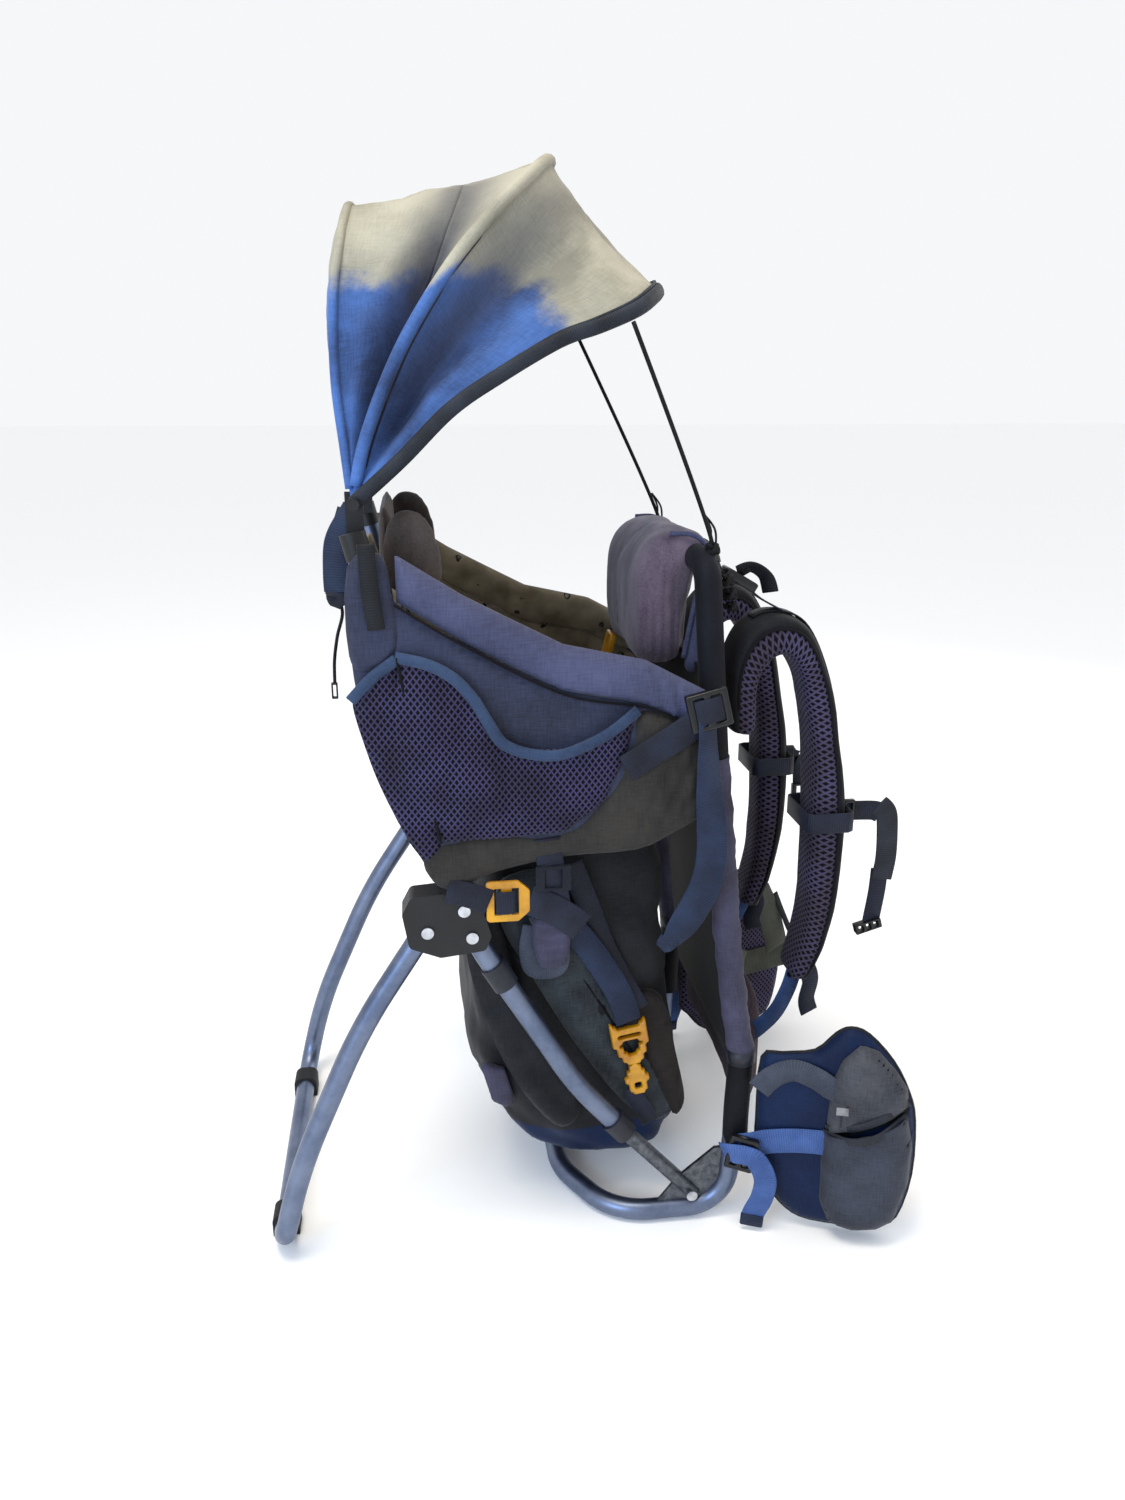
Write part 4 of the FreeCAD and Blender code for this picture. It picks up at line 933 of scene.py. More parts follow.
def ladder_lock(name, centre, size, turn, finish, body, bars=2, replaced=()):
    """A moulded webbing slider: a rounded frame with its slots cut through."""
    bpy.ops.object.select_all(action="DESELECT")
    bpy.ops.mesh.primitive_cube_add(size=1)
    obj = bpy.context.object
    obj.name = name
    obj.scale = size
    bpy.ops.object.transform_apply(location=False, rotation=False, scale=True)
    for k in range(bars):
        x = size[0] * ((k + 0.5) / bars - 0.5) * 0.86
        bpy.ops.object.select_all(action="DESELECT")
        bpy.ops.mesh.primitive_cube_add(size=1, location=(x, 0, 0))
        tool = bpy.context.object
        tool.scale = (size[0] * 0.5 / bars, size[1] * 4, size[2] * 0.74)
        bpy.ops.object.transform_apply(location=True, rotation=False, scale=True)
        solo(obj)
        slit = obj.modifiers.new("slit", "BOOLEAN")
        slit.operation, slit.object, slit.solver = "DIFFERENCE", tool, "EXACT"
        bpy.ops.object.modifier_apply(modifier=slit.name)
        bpy.data.objects.remove(tool)
    solo(obj)
    bpy.ops.object.mode_set(mode="EDIT")
    bpy.ops.mesh.select_all(action="SELECT")
    bpy.ops.mesh.bevel(offset=min(size) * 0.2, segments=3, affect="EDGES", clamp_overlap=True)
    bpy.ops.object.mode_set(mode="OBJECT")
    obj.data.transform(Matrix.Translation(centre) @ turn.to_4x4())
    obj.data.materials.clear()
    obj.data.materials.append(finish)
    crisp(obj, 35)
    return put(obj, body, replaced)


BUCKLE_AXIS = Vector((0.17503, 0, -0.98456))
HOUSING = ("#........#", "##......##", "##########", "##########", "##......##", "##########", "###....###",
           "##......##", ".##....##.", ".##....##.", ".###..###.", "..######..", "..######..", "...####...")
TONGUE = ("...##...", "..####..", "..####..", ".######.", ".######.", "########", "########", ".##..##.",
          ".##..##.", ".######.", "..####..")


def moulded_plate(name, cells, size, centre, body, replaced):
    """A yellow buckle half: a plate cut to rows of cells, thickened, and rounded as it leaves the mould."""
    rows, columns = len(cells), len(cells[0])
    bpy.ops.object.select_all(action="DESELECT")
    bpy.ops.mesh.primitive_grid_add(x_subdivisions=columns, y_subdivisions=rows, size=1)
    obj = bpy.context.object
    obj.name = name
    obj.scale = (size[0], size[2], 1)
    bpy.ops.object.transform_apply(location=False, rotation=False, scale=True)
    bpy.ops.object.mode_set(mode="EDIT")
    bpy.ops.mesh.select_mode(type="FACE")
    bpy.ops.mesh.select_all(action="DESELECT")
    bpy.ops.object.mode_set(mode="OBJECT")
    for face in obj.data.polygons:
        column = int((face.center.x / size[0] + 0.5) * columns)
        row = int((0.5 - face.center.y / size[2]) * rows)
        face.select = cells[row][column] == "."
    bpy.ops.object.mode_set(mode="EDIT")
    bpy.ops.mesh.delete(type="FACE")
    bpy.ops.mesh.select_all(action="SELECT")
    bpy.ops.mesh.extrude_region_move(TRANSFORM_OT_translate={"value": (0, 0, size[1])})
    bpy.ops.mesh.select_all(action="SELECT")
    bpy.ops.mesh.normals_make_consistent(inside=False)
    bpy.ops.object.mode_set(mode="OBJECT")
    soft = obj.modifiers.new("soft", "SUBSURF")
    soft.levels = soft.render_levels = 2
    bpy.ops.object.modifier_apply(modifier=soft.name)
    out = Vector((0, -1, 0))
    across = (-BUCKLE_AXIS).cross(out)
    turn = Matrix((across, -BUCKLE_AXIS, out)).transposed()
    obj.data.transform(Matrix.Translation(centre - out * size[1] / 2) @ turn.to_4x4())
    obj.data.materials.clear()
    obj.data.materials.append(YELLOW)
    obj.data.polygons.foreach_set("use_smooth", [True] * len(obj.data.polygons))
    return put(obj, body, [replaced])


def entry_buckle():
    middle = Vector((0.021, -0.146, 0.208))
    moulded_plate("entry_buckle_upper", HOUSING, (0.040, 0.010, 0.052), middle - BUCKLE_AXIS * 0.002, "root",
                  "entry_buckle_housing")
    moulded_plate("entry_buckle_lower", TONGUE, (0.027, 0.009, 0.040), middle + BUCKLE_AXIS * 0.042,
                  "buckle_tongue",
                  "entry_buckle_tongue")


entry_buckle()


def facing(out, up):
    """A turn whose y axis looks out and whose z axis is near up."""
    y = Vector(out).normalized()
    x = y.cross(Vector(up)).normalized()
    z = x.cross(y)
    return Matrix((x, y, z)).transposed()


# ---- seat ----------------------------------------------------------------------------------------

SIDE_PANEL = [(-168, 411), (-190, 443), (-221, 506), (-238, 580), (-246, 643), (-244, 722), (-214, 731),
              (-206, 690), (-146, 651), (-55, 604), (22, 588), (80, 558), (86, 520), (83, 480), (50, 458),
              (15, 443), (-55, 440), (-120, 428)]
VALANCE_OUT = [(-190, 444), (-169, 413), (-120, 429), (-55, 441), (15, 444), (50, 459), (83, 481), (85, 520),
               (79, 556), (20, 584), (6, 545), (-14, 500), (-55, 468), (-110, 466), (-166, 464)]
RIM_OUT = [(-204, 731), (-146, 694), (-100, 670), (-55, 647), (22, 630), (84, 597), (84, 562), (50, 572),
           (22, 588), (-55, 603), (-100, 626), (-146, 651), (-204, 689)]
POCKET_OUT = [(-220, 530), (-212, 590), (-205, 646), (-180, 639), (-158, 627), (-140, 608), (-126, 583),
              (-112, 562), (-85, 553), (-55, 553), (-17, 569), (14, 590), (4, 545), (-16, 498), (-55, 467),
              (-110, 464), (-167, 462), (-196, 494)]
POCKET_TOP = [(-207, 646), (-180, 640), (-158, 628), (-140, 608), (-126, 584), (-112, 563), (-85, 553),
              (-55, 553), (-17, 569), (13, 590)]
SIDE_OFF = 0.178
SEAT_FOOT = (-0.163, 0, 0.424)
SEAT_LEAN = -13.9


def flat(points):
    return [(a / 1000, b / 1000) for a, b in points]


def away(u, v, line):
    """How far a flat point is from a flat line, in metres."""
    best = 9.0
    for (a, b), (c, d) in zip(line, line[1:]):
        x, y = c - a, d - b
        t = min(max(((u - a) * x + (v - b) * y) / (x * x + y * y), 0), 1)
        best = min(best, math.hypot(u - a - t * x, v - b - t * y))
    return best


def seat_sides():
    top_line = flat(POCKET_TOP)
    for name, side in SIDES:
        panel = upright_place(SIDE_OFF, side)

        def skin(u, v, d, side=side):
            gathers = 0.0022 * math.sin(u * 420 + v * 60) * ease(u, 0.01, 0.05) * crown(d, 0.02)
            return 0.001 + 0.004 * crown(d, 0.03) + gathers + wrinkle(Vector((u, side, v)), 0.07,
                                                                      0.003) * crown(d, 0.03)

        pillow("seat_side_" + name + "_cloth", plan(SIDE_PANEL, 3), 0.007, panel, skin,
               puffed(-0.003, -0.002, 0.03), [SEAT, LINING], "root",
               ["seat_side_" + name])
        pillow("seat_valance_" + name, plan(VALANCE_OUT, 3), 0.006, panel,
               lambda u, v, d: skin(u, v, d) + 0.0022 + 0.002 * crown(d, 0.02)
               + 0.0018 * math.sin(u * 330 - v * 150) * ease(u, -0.02, 0.05) * crown(d, 0.015),
               puffed(0.0), VALANCE, "root")
        rim = pillow("seat_rim_" + name, flat(RIM_OUT), 0.005, upright_place(0.175, side),
                     lambda u, v, d: 0.0015 + 0.0115 * crown(d, 0.022)
                     + 0.0036 * math.sin(u * 390 + v * 90) * ease(u, 0.0, 0.05) * crown(d, 0.015)
                     + wrinkle(Vector((u, side, v)), 0.03, 0.0016) * crown(d, 0.02),
                     puffed(-0.0015, -0.0095, 0.022), [RIM, LINING], "root",
                     ["seat_rims"])
        seam = mm([(x, 184, z) for x, z in ((-206, 688), (-146, 650), (-55, 602), (22, 587), (60, 570))],
                  side)
        tube("seat_rim_piping_" + name, smooth(seam), 0.0013, NET, "root", sides=PIPING_SIDES)

        # The mesh pocket stands open along its binding and is sewn down along its other edges.
        sewn = flat(POCKET_OUT[9 + 2:] + POCKET_OUT[:3])

        def bulge(u, v):
            fold = 0.0035 * math.exp(-((u + 0.108 + (v - 0.5) * 0.12) / 0.007) ** 2)
            fold += 0.003 * math.exp(-((u + 0.165 - (v - 0.5) * 0.2) / 0.008) ** 2)
            full = 0.0035 + 0.009 * crown(away(u, v, sewn), 0.045)
            return full - fold * ease(v, 0.46, 0.5) + wrinkle(Vector((u, side * 2, v)), 0.045, 0.002)

        pillow("mesh_pocket_" + name, flat(POCKET_OUT), 0.005, panel, lambda u, v, d: 0.003 + bulge(u, v),
               lambda u, v, d: 0.0015 + bulge(u, v), POCKET_MESH, "root", ["mesh_pockets"])
        line = [Vector((p[0], side * (0.1825 + bulge(p[0], p[1])), p[1] - 0.004)) for p in top_line]
        ribbon("mesh_pocket_binding_" + name, smooth(line), Vector((0, side, 0)), 0.011, 0.0035, BLUE_TRIM,
               "root")
        corner = [(-247, 608), (-228, 628), (-207, 643), (-200, 600), (-186, 530), (-172, 463), (-190, 446),
                  (-221, 508), (-238, 560)]
        pillow("mesh_corner_" + name, plan(corner, 3), 0.006, panel,
               puffed(0.006, 0.004, 0.02),
               puffed(0.0035), POCKET_MESH, "root")
        strap("mesh_corner_binding_" + name, [(-248, 186, 603), (-228, 188, 624), (-206, 188, 640)], side,
              Vector((0, side, 0)), 0.011, BLUE_TRIM, "root", thick=0.003)
        line = mm([(-206, 189, 642), (-199, 189, 600), (-186, 189, 530), (-172, 188, 463)], side)
        tube("mesh_seam_" + name, smooth(line), 0.0014, NET, "root", sides=PIPING_SIDES)
        sleeve = [(-247, 640), (-245, 722), (-215, 731), (-208, 690), (-206, 648), (-228, 630)]
        pillow("strut_cover_" + name, plan(sleeve, 3), 0.006, panel,
               lambda u, v, d: 0.0055 + 0.004 * crown(d, 0.014) + wrinkle(Vector((u, side, v)), 0.02,
                                                                          0.002) * crown(d, 0.01),
               puffed(0.002), SEAT, "root")
        hidden = [(-168, 413), (-190, 446), (-220, 508), (-236, 580), (-244, 643), (-242, 720), (-216, 728),
                  (-206, 690), (-196, 600), (-176, 500), (-160, 430)]
        pillow("strut_sleeve_" + name, plan(hidden, 3), 0.007, panel, puffed(-0.0045),
               puffed(-0.0065, -0.002, 0.014), SEAT, "root")
        # Navy webbing crosses from the pocket's front corner to the rim buckle.
        strap("rim_strap_" + name, [(2, 191, 530), (30, 193, 548), (58, 194, 566), (76, 194, 580)], side,
              Vector((0, side, 0)), 0.028, NAVY, "root")


def seat_inside():
    back = tilted_place(SEAT_FOOT, SEAT_LEAN)
    board = [(-136, 0), (-136, 150), (-134, 290), (-124, 302), (0, 303), (124, 302), (134, 290), (136, 150),
             (136, 0), (0, -2)]
    pillow("seat_back_cloth", flat(board), 0.01, back, puffed(0.0025, 0.0015, 0.02),
           lambda u, v, d: -0.0025 - 0.0015 * crown(d, 0.02) + wrinkle(Vector((u, 5, v)), 0.06, 0.001),
           [LINING, SEAT], "root", ["seat_back"])
    pad = pillow("back_cushion_cloth", plan([(-108, 60), (-114, 160), (-108, 256), (0, 258), (108, 256),
                                             (114, 160), (108, 60), (0, 57)], 4), 0.007, back,
                 lambda u, v, d: (0.008 + 0.008 * crown(d, 0.03)
                                  - 0.004 * math.exp(-(u / 0.006) ** 2) * crown(d, 0.02)),
                 puffed(0.0045), LINING, "root", ["back_cushion"])
    inflate(pad, 0.004, 0.006)
    for k, y in enumerate((-47, 47)):
        line = [back(y / 1000, v / 1000, 0.0195 + h) for v, h in (
            (82, 0.001), (140, 0.003), (200, 0.003), (246, 0.002))]
        ribbon("child_strap_%d" % k, smooth(line), Vector((1, 0, 0)), 0.024, WEB_THICK, BLACK_WEB, "root",
               ["child_harness"])
    line = mm([(-128, 46, 486), (-60, 46, 484), (-5, 46, 500), (17, 46, 545), (23, 46, 582)])
    ribbon("child_strap_front", smooth(line), [Vector((-1, 0, 1))] * 33, 0.022, WEB_THICK, BLACK_WEB, None,
           blend=("root", "saddle", line[4], line[2]))
    ladder_lock("child_buckle", Vector((0.026, 0.046, 0.598)), (0.026, 0.008, 0.03),
                facing((-1, 0, 0.25), (0, 0, 1)), YELLOW, "root")
    wall = [(-100, 0), (-102, 60), (-98, 70), (98, 70), (102, 60), (100, 0)]
    head = pillow("headrest_back", plan(wall, 3), 0.007, tilted_place((-0.213, 0, 0.694), 0),
                  puffed(0.001, 0.006, 0.02),
                  puffed(-0.001, -0.005, 0.02),
                  HEAD_FLEECE, "root", ["headrest"])
    for name, side in SIDES:
        ear = [(-216, 692), (-217, 730), (-208, 758), (-192, 766), (-174, 757), (-163, 735), (-159, 708),
               (-163, 694), (-190, 690)]
        ear_pad = pillow("headrest_ear_" + name, plan(ear, 4), 0.005, upright_place(0.113, side),
                           puffed(0.001, 0.006, 0.018),
                           puffed(-0.001, -0.006, 0.018), HEAD_FLEECE, "root")
        inflate(ear_pad, 0.003, 0.005)
    seat = [(-148, -104), (-60, -100), (0, -76), (58, -44), (61, 0), (58, 44), (0, 76), (-60, 100),
            (-148, 104),
            (-151, 0)]
    saddle = pillow("seat_saddle_cloth", plan(seat, 4), 0.008, lambda u, v, h: Vector((u, v, 0.466 + h)),
                    puffed(0.001, 0.008, 0.03),
                    puffed(-0.001, -0.008, 0.03),
                    LINING, "saddle", ["seat_saddle"])
    inflate(saddle, 0.003, 0.006)


CHIN = [(36, 604), (31, 640), (31, 690), (37, 716), (52, 732), (74, 738), (95, 736), (104, 728), (98, 716),
        (90, 690), (82, 650), (76, 608), (58, 602)]


def chin_pad():
    ring = [Vector((x, 0, z)) / 1000 for x, z in CHIN]
    ring = even(smooth(ring + ring[:1], 6), 49)[:-1]
    middle = sum(ring, Vector()) / len(ring)
    loops = []
    for k in range(27):
        y = -0.093 + 0.186 * k / 26
        size = 0.62 + 0.38 * crown(0.0935 - abs(y), 0.022)
        loops.append([middle + (p - middle) * size + Vector((0, y, 0)) for p in ring])
    pad = rings("chin_pad_cloth", loops, FLEECE, "root", ["chin_pad"])
    inflate(pad, 0.004, 0.005)
    for v in pad.data.vertices:
        low = 1 - ease(v.co.z, 0.63, 0.715)
        v.co.y += 0.0016 * low * math.sin(v.co.x * 620 + v.co.z * 25) * (1 if v.co.y < 0 else -1)
        v.co += wrinkle(v.co, 0.04, 0.0015) * Vector((0.5, 0.3, 0.5))
    for name, side in SIDES:
        edge = mm([(62, 86, 735), (84, 90, 734), (97, 92, 722), (94, 93, 698), (86, 93, 660), (78, 92, 612)],
                  side)
        tube("chin_piping_" + name, smooth(edge), 0.0026, RIM, "root", sides=PIPING_SIDES)
        wing = [(80, 602), (96, 602), (101, 650), (101, 706), (97, 716), (92, 690), (86, 650)]
        pillow("chin_wing_" + name, plan(wing, 4), 0.005, upright_place(0.091, side),
               puffed(0.001, 0.004, 0.01), puffed(-0.002), RIM, "root")


def rear_pieces():
    back = tilted_place(SEAT_FOOT, SEAT_LEAN)
    pouch = [(-112, 30), (-116, 120), (-115, 222), (-60, 210), (0, 206), (60, 210), (115, 222), (116, 120),
             (112, 30), (0, 26)]
    sewn = [(-0.115, 0.222), (-0.116, 0.12), (-0.112, 0.03), (0, 0.026), (0.112, 0.03), (0.116, 0.12),
            (0.115, 0.222)]
    pillow("rear_pocket_cloth", flat(pouch), 0.007, back,
           lambda u, v, d: (-0.0055 - 0.018 * crown(away(u, v, sewn), 0.05)
                            - wrinkle(Vector((u, 7, v)), 0.05, 0.002)),
           lambda u, v, d: (-0.007 - 0.018 * crown(away(u, v, sewn), 0.05)
                            - wrinkle(Vector((u, 7, v)), 0.05, 0.002)),
           POCKET_MESH, "root", ["rear_pocket"])
    line = [back(u / 1000, v / 1000, -0.0065 - 0.018 * crown(away(u / 1000, v / 1000, sewn), 0.05))
            for u, v in ((-114, 220), (-60, 207), (0, 203), (60, 207), (114, 220))]
    ribbon("rear_pocket_binding", smooth(line), Vector((-1, 0, 0)), 0.012, 0.0032, BLUE_TRIM, "root")
    narrow_to_wide = [0.014 + 0.012 * ease(k / 32, 0, 0.5) for k in range(33)]
    strap("rear_loop_webbing", [(-243, -102, 768), (-250, -106, 752), (-257, -107, 730), (-259, -107, 705),
                                (-259, -106, 688)], 1, Vector((-0.25, -1, 0)), narrow_to_wide, BLUE_DARK,
          "root", replaced=["rear_loop"], thick=0.0022)
    strap("rear_loop_inner", [(-259, -106, 688), (-259, -102, 683), (-258, -97, 690), (-254, -96, 730),
                              (-244, -98, 762)], 1, Vector((-0.2, -1, 0)), 0.024, NAVY, "root")
    strap("rear_side_strap", [(-228, -189, 742), (-226, -192, 700), (-222, -192, 668)], 1,
          Vector((-0.2, -1, 0)), 0.016, BLACK_WEB, "root")
    line = mm([(-262, -99, 688), (-256, -99, 668), (-262, -99, 645), (-266, -100, 622), (-267, -101, 600)])
    tube("rear_zip_pull", smooth(line), 0.0016, ELASTIC, "root", sides=PIPING_SIDES)
    ladder_lock("rear_zip_tab", Vector((-0.2675, -0.101, 0.592)), (0.006, 0.004, 0.016),
                facing((0, -1, 0), (0, 0, 1)),
                SHELL, "root", bars=1)


BAG_RINGS = ((434, -150, 62, 130), (405, -150, 64, 136), (350, -149, 68, 138), (306, -148, 73, 138),
             (250, -151, 79, 138), (199, -154, 84, 138), (160, -148, 89, 137), (125, -136, 93, 134),
             (95, -116, 95, 130), (72, -96, 90, 124), (55, -72, 78, 116), (44, -46, 60, 104),
             (38, -20, 40, 84))


def luggage_bag():
    loops = []
    levels = smooth([Vector((low, high, half)) for _, low, high, half in BAG_RINGS], 3)
    heights = smooth([Vector((z, 0, 0)) for z, *_ in BAG_RINGS], 3)
    for size, level in zip(levels, heights):
        low, high, half = size
        loop = []
        for k in range(112):
            a = 2 * math.pi * k / 112
            c, s = math.cos(a), math.sin(a)
            x = (low + high) / 2 + (high - low) / 2 * math.copysign(abs(c) ** 0.5, c)
            y = half * math.copysign(abs(s) ** 0.42, s)
            p = Vector((x, y, level.x)) / 1000
            inward = Vector(((low + high) / 2000, 0, level.x / 1000)) - p
            crease = 0.006 * abs(math.sin(p.z * 38 + p.x * 26)) ** 3 + wrinkle(p, 0.07, 0.008) + 0.002
            crease += 0.004 * math.exp(-((p.x + 0.03 + (p.z - 0.25) * 0.35) / 0.012) ** 2)
            loop.append(p + inward.normalized() * max(0.0, crease))
        loops.append(loop)
    bag = rings("luggage_bag_cloth", loops, BAG, "root", ["luggage_bag"])
    bag.data.materials.append(FIN)
    for face in bag.data.polygons:
        face.material_index = 1 if face.center.z < 0.098 else 0
    for name, side in SIDES:
        seam = mm([(-80, 138, 400), (-52, 138, 330), (-16, 138, 262), (22, 138, 198), (52, 134, 140)], side)
        tube("bag_seam_" + name, smooth(seam), 0.0016, NET, "root", sides=PIPING_SIDES)
        patch = [(-138, 188), (-112, 178), (-102, 140), (-110, 132), (-126, 142)]
        pillow("bag_patch_" + name, flat(patch), 0.005, upright_place(0.1315, side),
               puffed(0.002, 0.002, 0.01), puffed(-0.006), SLEEVE, "root")
        # The lighter front panel is a painted sheen over the bag's near side.
        for part, finish, shape, lift in (
                ("front", BAG_PAINTED_SHEEN, [(-112, 396), (-62, 402), (-30, 330), (0, 262), (34, 200), (64, 148),
                                     (72, 118), (48, 104), (10, 138), (-40, 212), (-84, 292),
                                    (-114, 352)], 0.137),
                ("lower", BAG_BROWN, [(6, 238), (30, 262), (58, 250), (72, 190), (84, 130), (74, 108),
                                      (66, 124), (36, 190)], 0.1375),
                ("pleat", BAG, [(-150, 330), (-128, 372), (-112, 340), (-96, 270), (-60, 190), (-30, 130),
                                (-52, 104), (-92, 150), (-128, 230)], 0.136)):
            pillow("bag_%s_%s" % (part, name), plan(shape, 4), 0.006, upright_place(lift, side),
                   lambda u, v, d: (0.004 * crown(d, 0.02)
                                    + (wrinkle(Vector((u, v, 2)), 0.05, 0.006)
                                       + 0.003 * math.sin(u * 120 + v * 75)) * crown(d, 0.02)),
                   puffed(-0.012), finish, "root")


# ---- back system ---------------------------------------------------------------------------------

LEAN_FOOT = (0.130, 0, 0.240)
LEAN = -6.25


def back_system():
    wall = tilted_place(LEAN_FOOT, LEAN)
    net = [(-124, -78), (-126, 150), (-122, 370), (0, 374), (122, 370), (126, 150), (124, -78), (0, -80)]
    pillow("back_panel_net", flat(net), 0.011, wall,
           lambda u, v, d: 0.0012 + wrinkle(Vector((u, 9, v)), 0.06, 0.001),
           puffed(-0.0012), NET, "root", ["back_panel"])
    for name, side in SIDES:
        for k, (low, high) in enumerate(((2, 104), (108, 210))):
            shape = [(34, low + 6), (36, high - 6), (52, high), (86, high), (102, high - 8), (104, low + 8),
                     (88, low), (50, low)]
            pad = pillow("back_pad_%s_%d" % (name, k), plan([(side * y, z) for y, z in shape], 4), 0.006,
                         wall, puffed(0.006, 0.019, 0.02), puffed(0.0035),
                         PAD_MESH, "root", ["back_pads"])
            inflate(pad, 0.003, 0.0055)
            lay_uv(pad, (0.3, 1, 0), (0, 0, 1))
        line = mm([(137, 165, 200), (128, 162, 250), (113, 156, 380), (99, 150, 525)], side)
        loops_line = even(smooth(line), 60)
        sleeve = tube("upright_sleeve_" + name, loops_line, 0.0142, SLEEVE, "root",
                      ["upright_sleeves"], sides=24)
        for v in sleeve.data.vertices:
            v.co += v.normal * (wrinkle(v.co, 0.03, 0.0012) + 0.0008 * math.sin(v.co.z * 190) ** 3)
        line = mm([(134.5, 165, 92), (134.5, 165, 130), (136, 165, 172), (137, 165, 198)], side)
        tube("upright_boot_" + name, smooth(line), 0.0136, SLEEVE_BLACK, "root", sides=24)
        line = mm([(137, 165, 190), (136, 165, 206)], side)
        tube("upright_cuff_" + name, line, 0.0150, COLLAR, "root", sides=24)
        line = mm([(99, 150, 524), (95, 141, 600), (91, 133, 676), (90, 128, 700), (89, 112, 711),
                   (89, 85, 712),
                   (89, 0.5, 712)], side)
        tube("upright_wrap_" + name, even(smooth(line), 60), 0.0132, NAVY_CLOTH, "root",
             sides=20)
    shape = [(148, -116), (162, -120), (178, -90), (187, -50), (190, 0), (187, 50), (178, 90), (162, 120),
             (148, 116), (150, 60), (150, 0), (150, -60)]
    lumbar = pillow("lumbar_pad_cloth", plan(shape, 4), 0.005, lambda u, v, h: Vector((u, v, 0.152 + h)),
                    puffed(0.040, 0.019, 0.016),
                    puffed(-0.040, -0.019, 0.016),
                    LUMBAR_MESH, "root", ["lumbar_pad"])
    lay_uv(inflate(lumbar, 0.003, 0.006), (0.4, 1, 0), (0, 0, 1))


seat_sides()
seat_inside()
chin_pad()
rear_pieces()
luggage_bag()
back_system()


# ---- webbing on the seat and bag -----------------------------------------------------------------

def seat_webbing():
    for name, side in SIDES:
        out = Vector((0, side, 0))
        # The rim buckle's long tail hangs with a half twist and a curled end.
        line = mm([(76, 190, 596), (78, 194, 570), (80, 194, 535), (84, 193, 490), (88, 192, 445),
                   (84, 190, 410),
                   (72, 188, 380), (58, 187, 356), (52, 186, 346)], side)
        looks = [Vector((0.5 * math.sin(k / 9), side, 0.15 * math.sin(k / 5))) for k in range(65)]
        wide = [0.020 + 0.010 * ease(k / 64, 0.1, 0.35) - 0.006 * ease(k / 64, 0.8, 1) for k in range(65)]
        ribbon("rim_tail_" + name, smooth(line), looks, wide, WEB_THICK, BLUE_DARK, "root",
               ["seat_webbing"])
        strap("rim_tail_curl_" + name, [(50, 186, 350), (47, 185, 343), (56, 184, 350), (66, 184, 361)],
              side, out, 0.02, BLUE_DARK, "root")
        # Bracket to yellow lock, then forward and down to the foot loop.
        for part, points, wide in (
                ("lock_strap", [(-168, 185, 414), (-148, 186, 408), (-128, 187, 400)], 0.026),
                ("lock_wrap", [(-122, 189, 399), (-114, 190, 399), (-104, 189, 399)], 0.024),
                ("hang_strap", [(-72, 184.5, 462), (-68, 185, 430), (-62, 184, 392)], 0.026),
                ("forward_strap", [(-90, 185, 399), (-66, 186, 388), (-38, 184, 366)], 0.031)):
            ribbon(part + "_" + name, smooth(mm(points, side)), out, wide, WEB_THICK, NAVY, "root")
        ladder_lock("hang_keeper_" + name, Vector((-0.066, side * 0.1865, 0.421)), (0.034, 0.004, 0.026),
                    facing((0, side, 0), (0, 0, 1)), NAVY_SOFT, "root", bars=1)
        ladder_lock("rim_buckle_" + name, Vector((0.079, side * 0.193, 0.585)), (0.040, 0.009, 0.037),
                    facing((0, side, 0), (-0.25, 0, 1)), BUCKLE, "root",
                    replaced=["rim_buckles"])
        strap("rim_buckle_wrap_" + name, [(66, 196, 582), (79, 198, 585), (92, 196, 588)], side, out, 0.024,
              NAVY, "root")
        loop = [(-84, 152, 356), (-88, 152, 330), (-84, 152, 308), (-70, 152, 303), (-56, 152, 308),
                (-54, 152, 330),
                (-58, 152, 356), (-71, 152, 360), (-84, 152, 356)]
        ribbon("foot_loop_" + name, smooth(mm(loop, side), 6), Vector((0, 1, 0)), 0.018, 0.0022, GREY_WEB,
               "root",
                      ["foot_loops"])
        cuff = [(-84, 366), (-80, 322), (-66, 314), (-50, 320), (-48, 358), (-64, 372)]
        pillow("foot_cuff_" + name, plan(cuff, 3), 0.004, upright_place(0.166, side),
               lambda u, v, d: 0.001 + 0.004 * crown(d, 0.008) + 0.0015 * math.sin(v * 520) * crown(d, 0.006),
               puffed(-0.003), SLEEVE, "root")
    strap("entry_strap", [(-60, -172, 376), (-44, -156, 352), (-20, -150, 318), (6, -149, 272),
                          (18, -149, 236)], 1, Vector((0.1, -1, 0)), 0.028, BLUE_DARK, "root")
    strap("entry_strap_behind", [(-44, -150, 420), (-26, -146, 372), (-8, -143, 322), (14, -142, 276),
                                 (30, -143, 246)], 1, Vector((0.2, -1, 0)), 0.024, NAVY, "root")
    line = mm([(24, -146, 154), (30, -147, 138), (40, -144, 120), (46, -139, 104)])
    ribbon("entry_strap_lower", smooth(line), Vector((0.1, -1, 0)), 0.02, WEB_THICK, NAVY, None,
           blend=("root", "buckle_tongue", line[-1], line[0]))


# ---- shoulder harness ----------------------------------------------------------------------------

STRAP_OFF = 0.095
STRAP_OUT = [(121, 540), (119, 600), (132, 640), (160, 658), (198, 646), (226, 590), (241, 522), (252, 455),
             (253, 363), (241, 292), (224, 252)]
STRAP_IN = [(150, 536), (149, 584), (158, 606), (172, 616), (184, 610), (197, 584), (209, 523), (214, 457),
            (217, 365), (213, 306), (202, 258)]


def strap_half(share):
    """The shoulder strap's half width at this share of its length from the top, in metres."""
    return 0.0325 - 0.004 * ease(share, 0.3, 0.9)


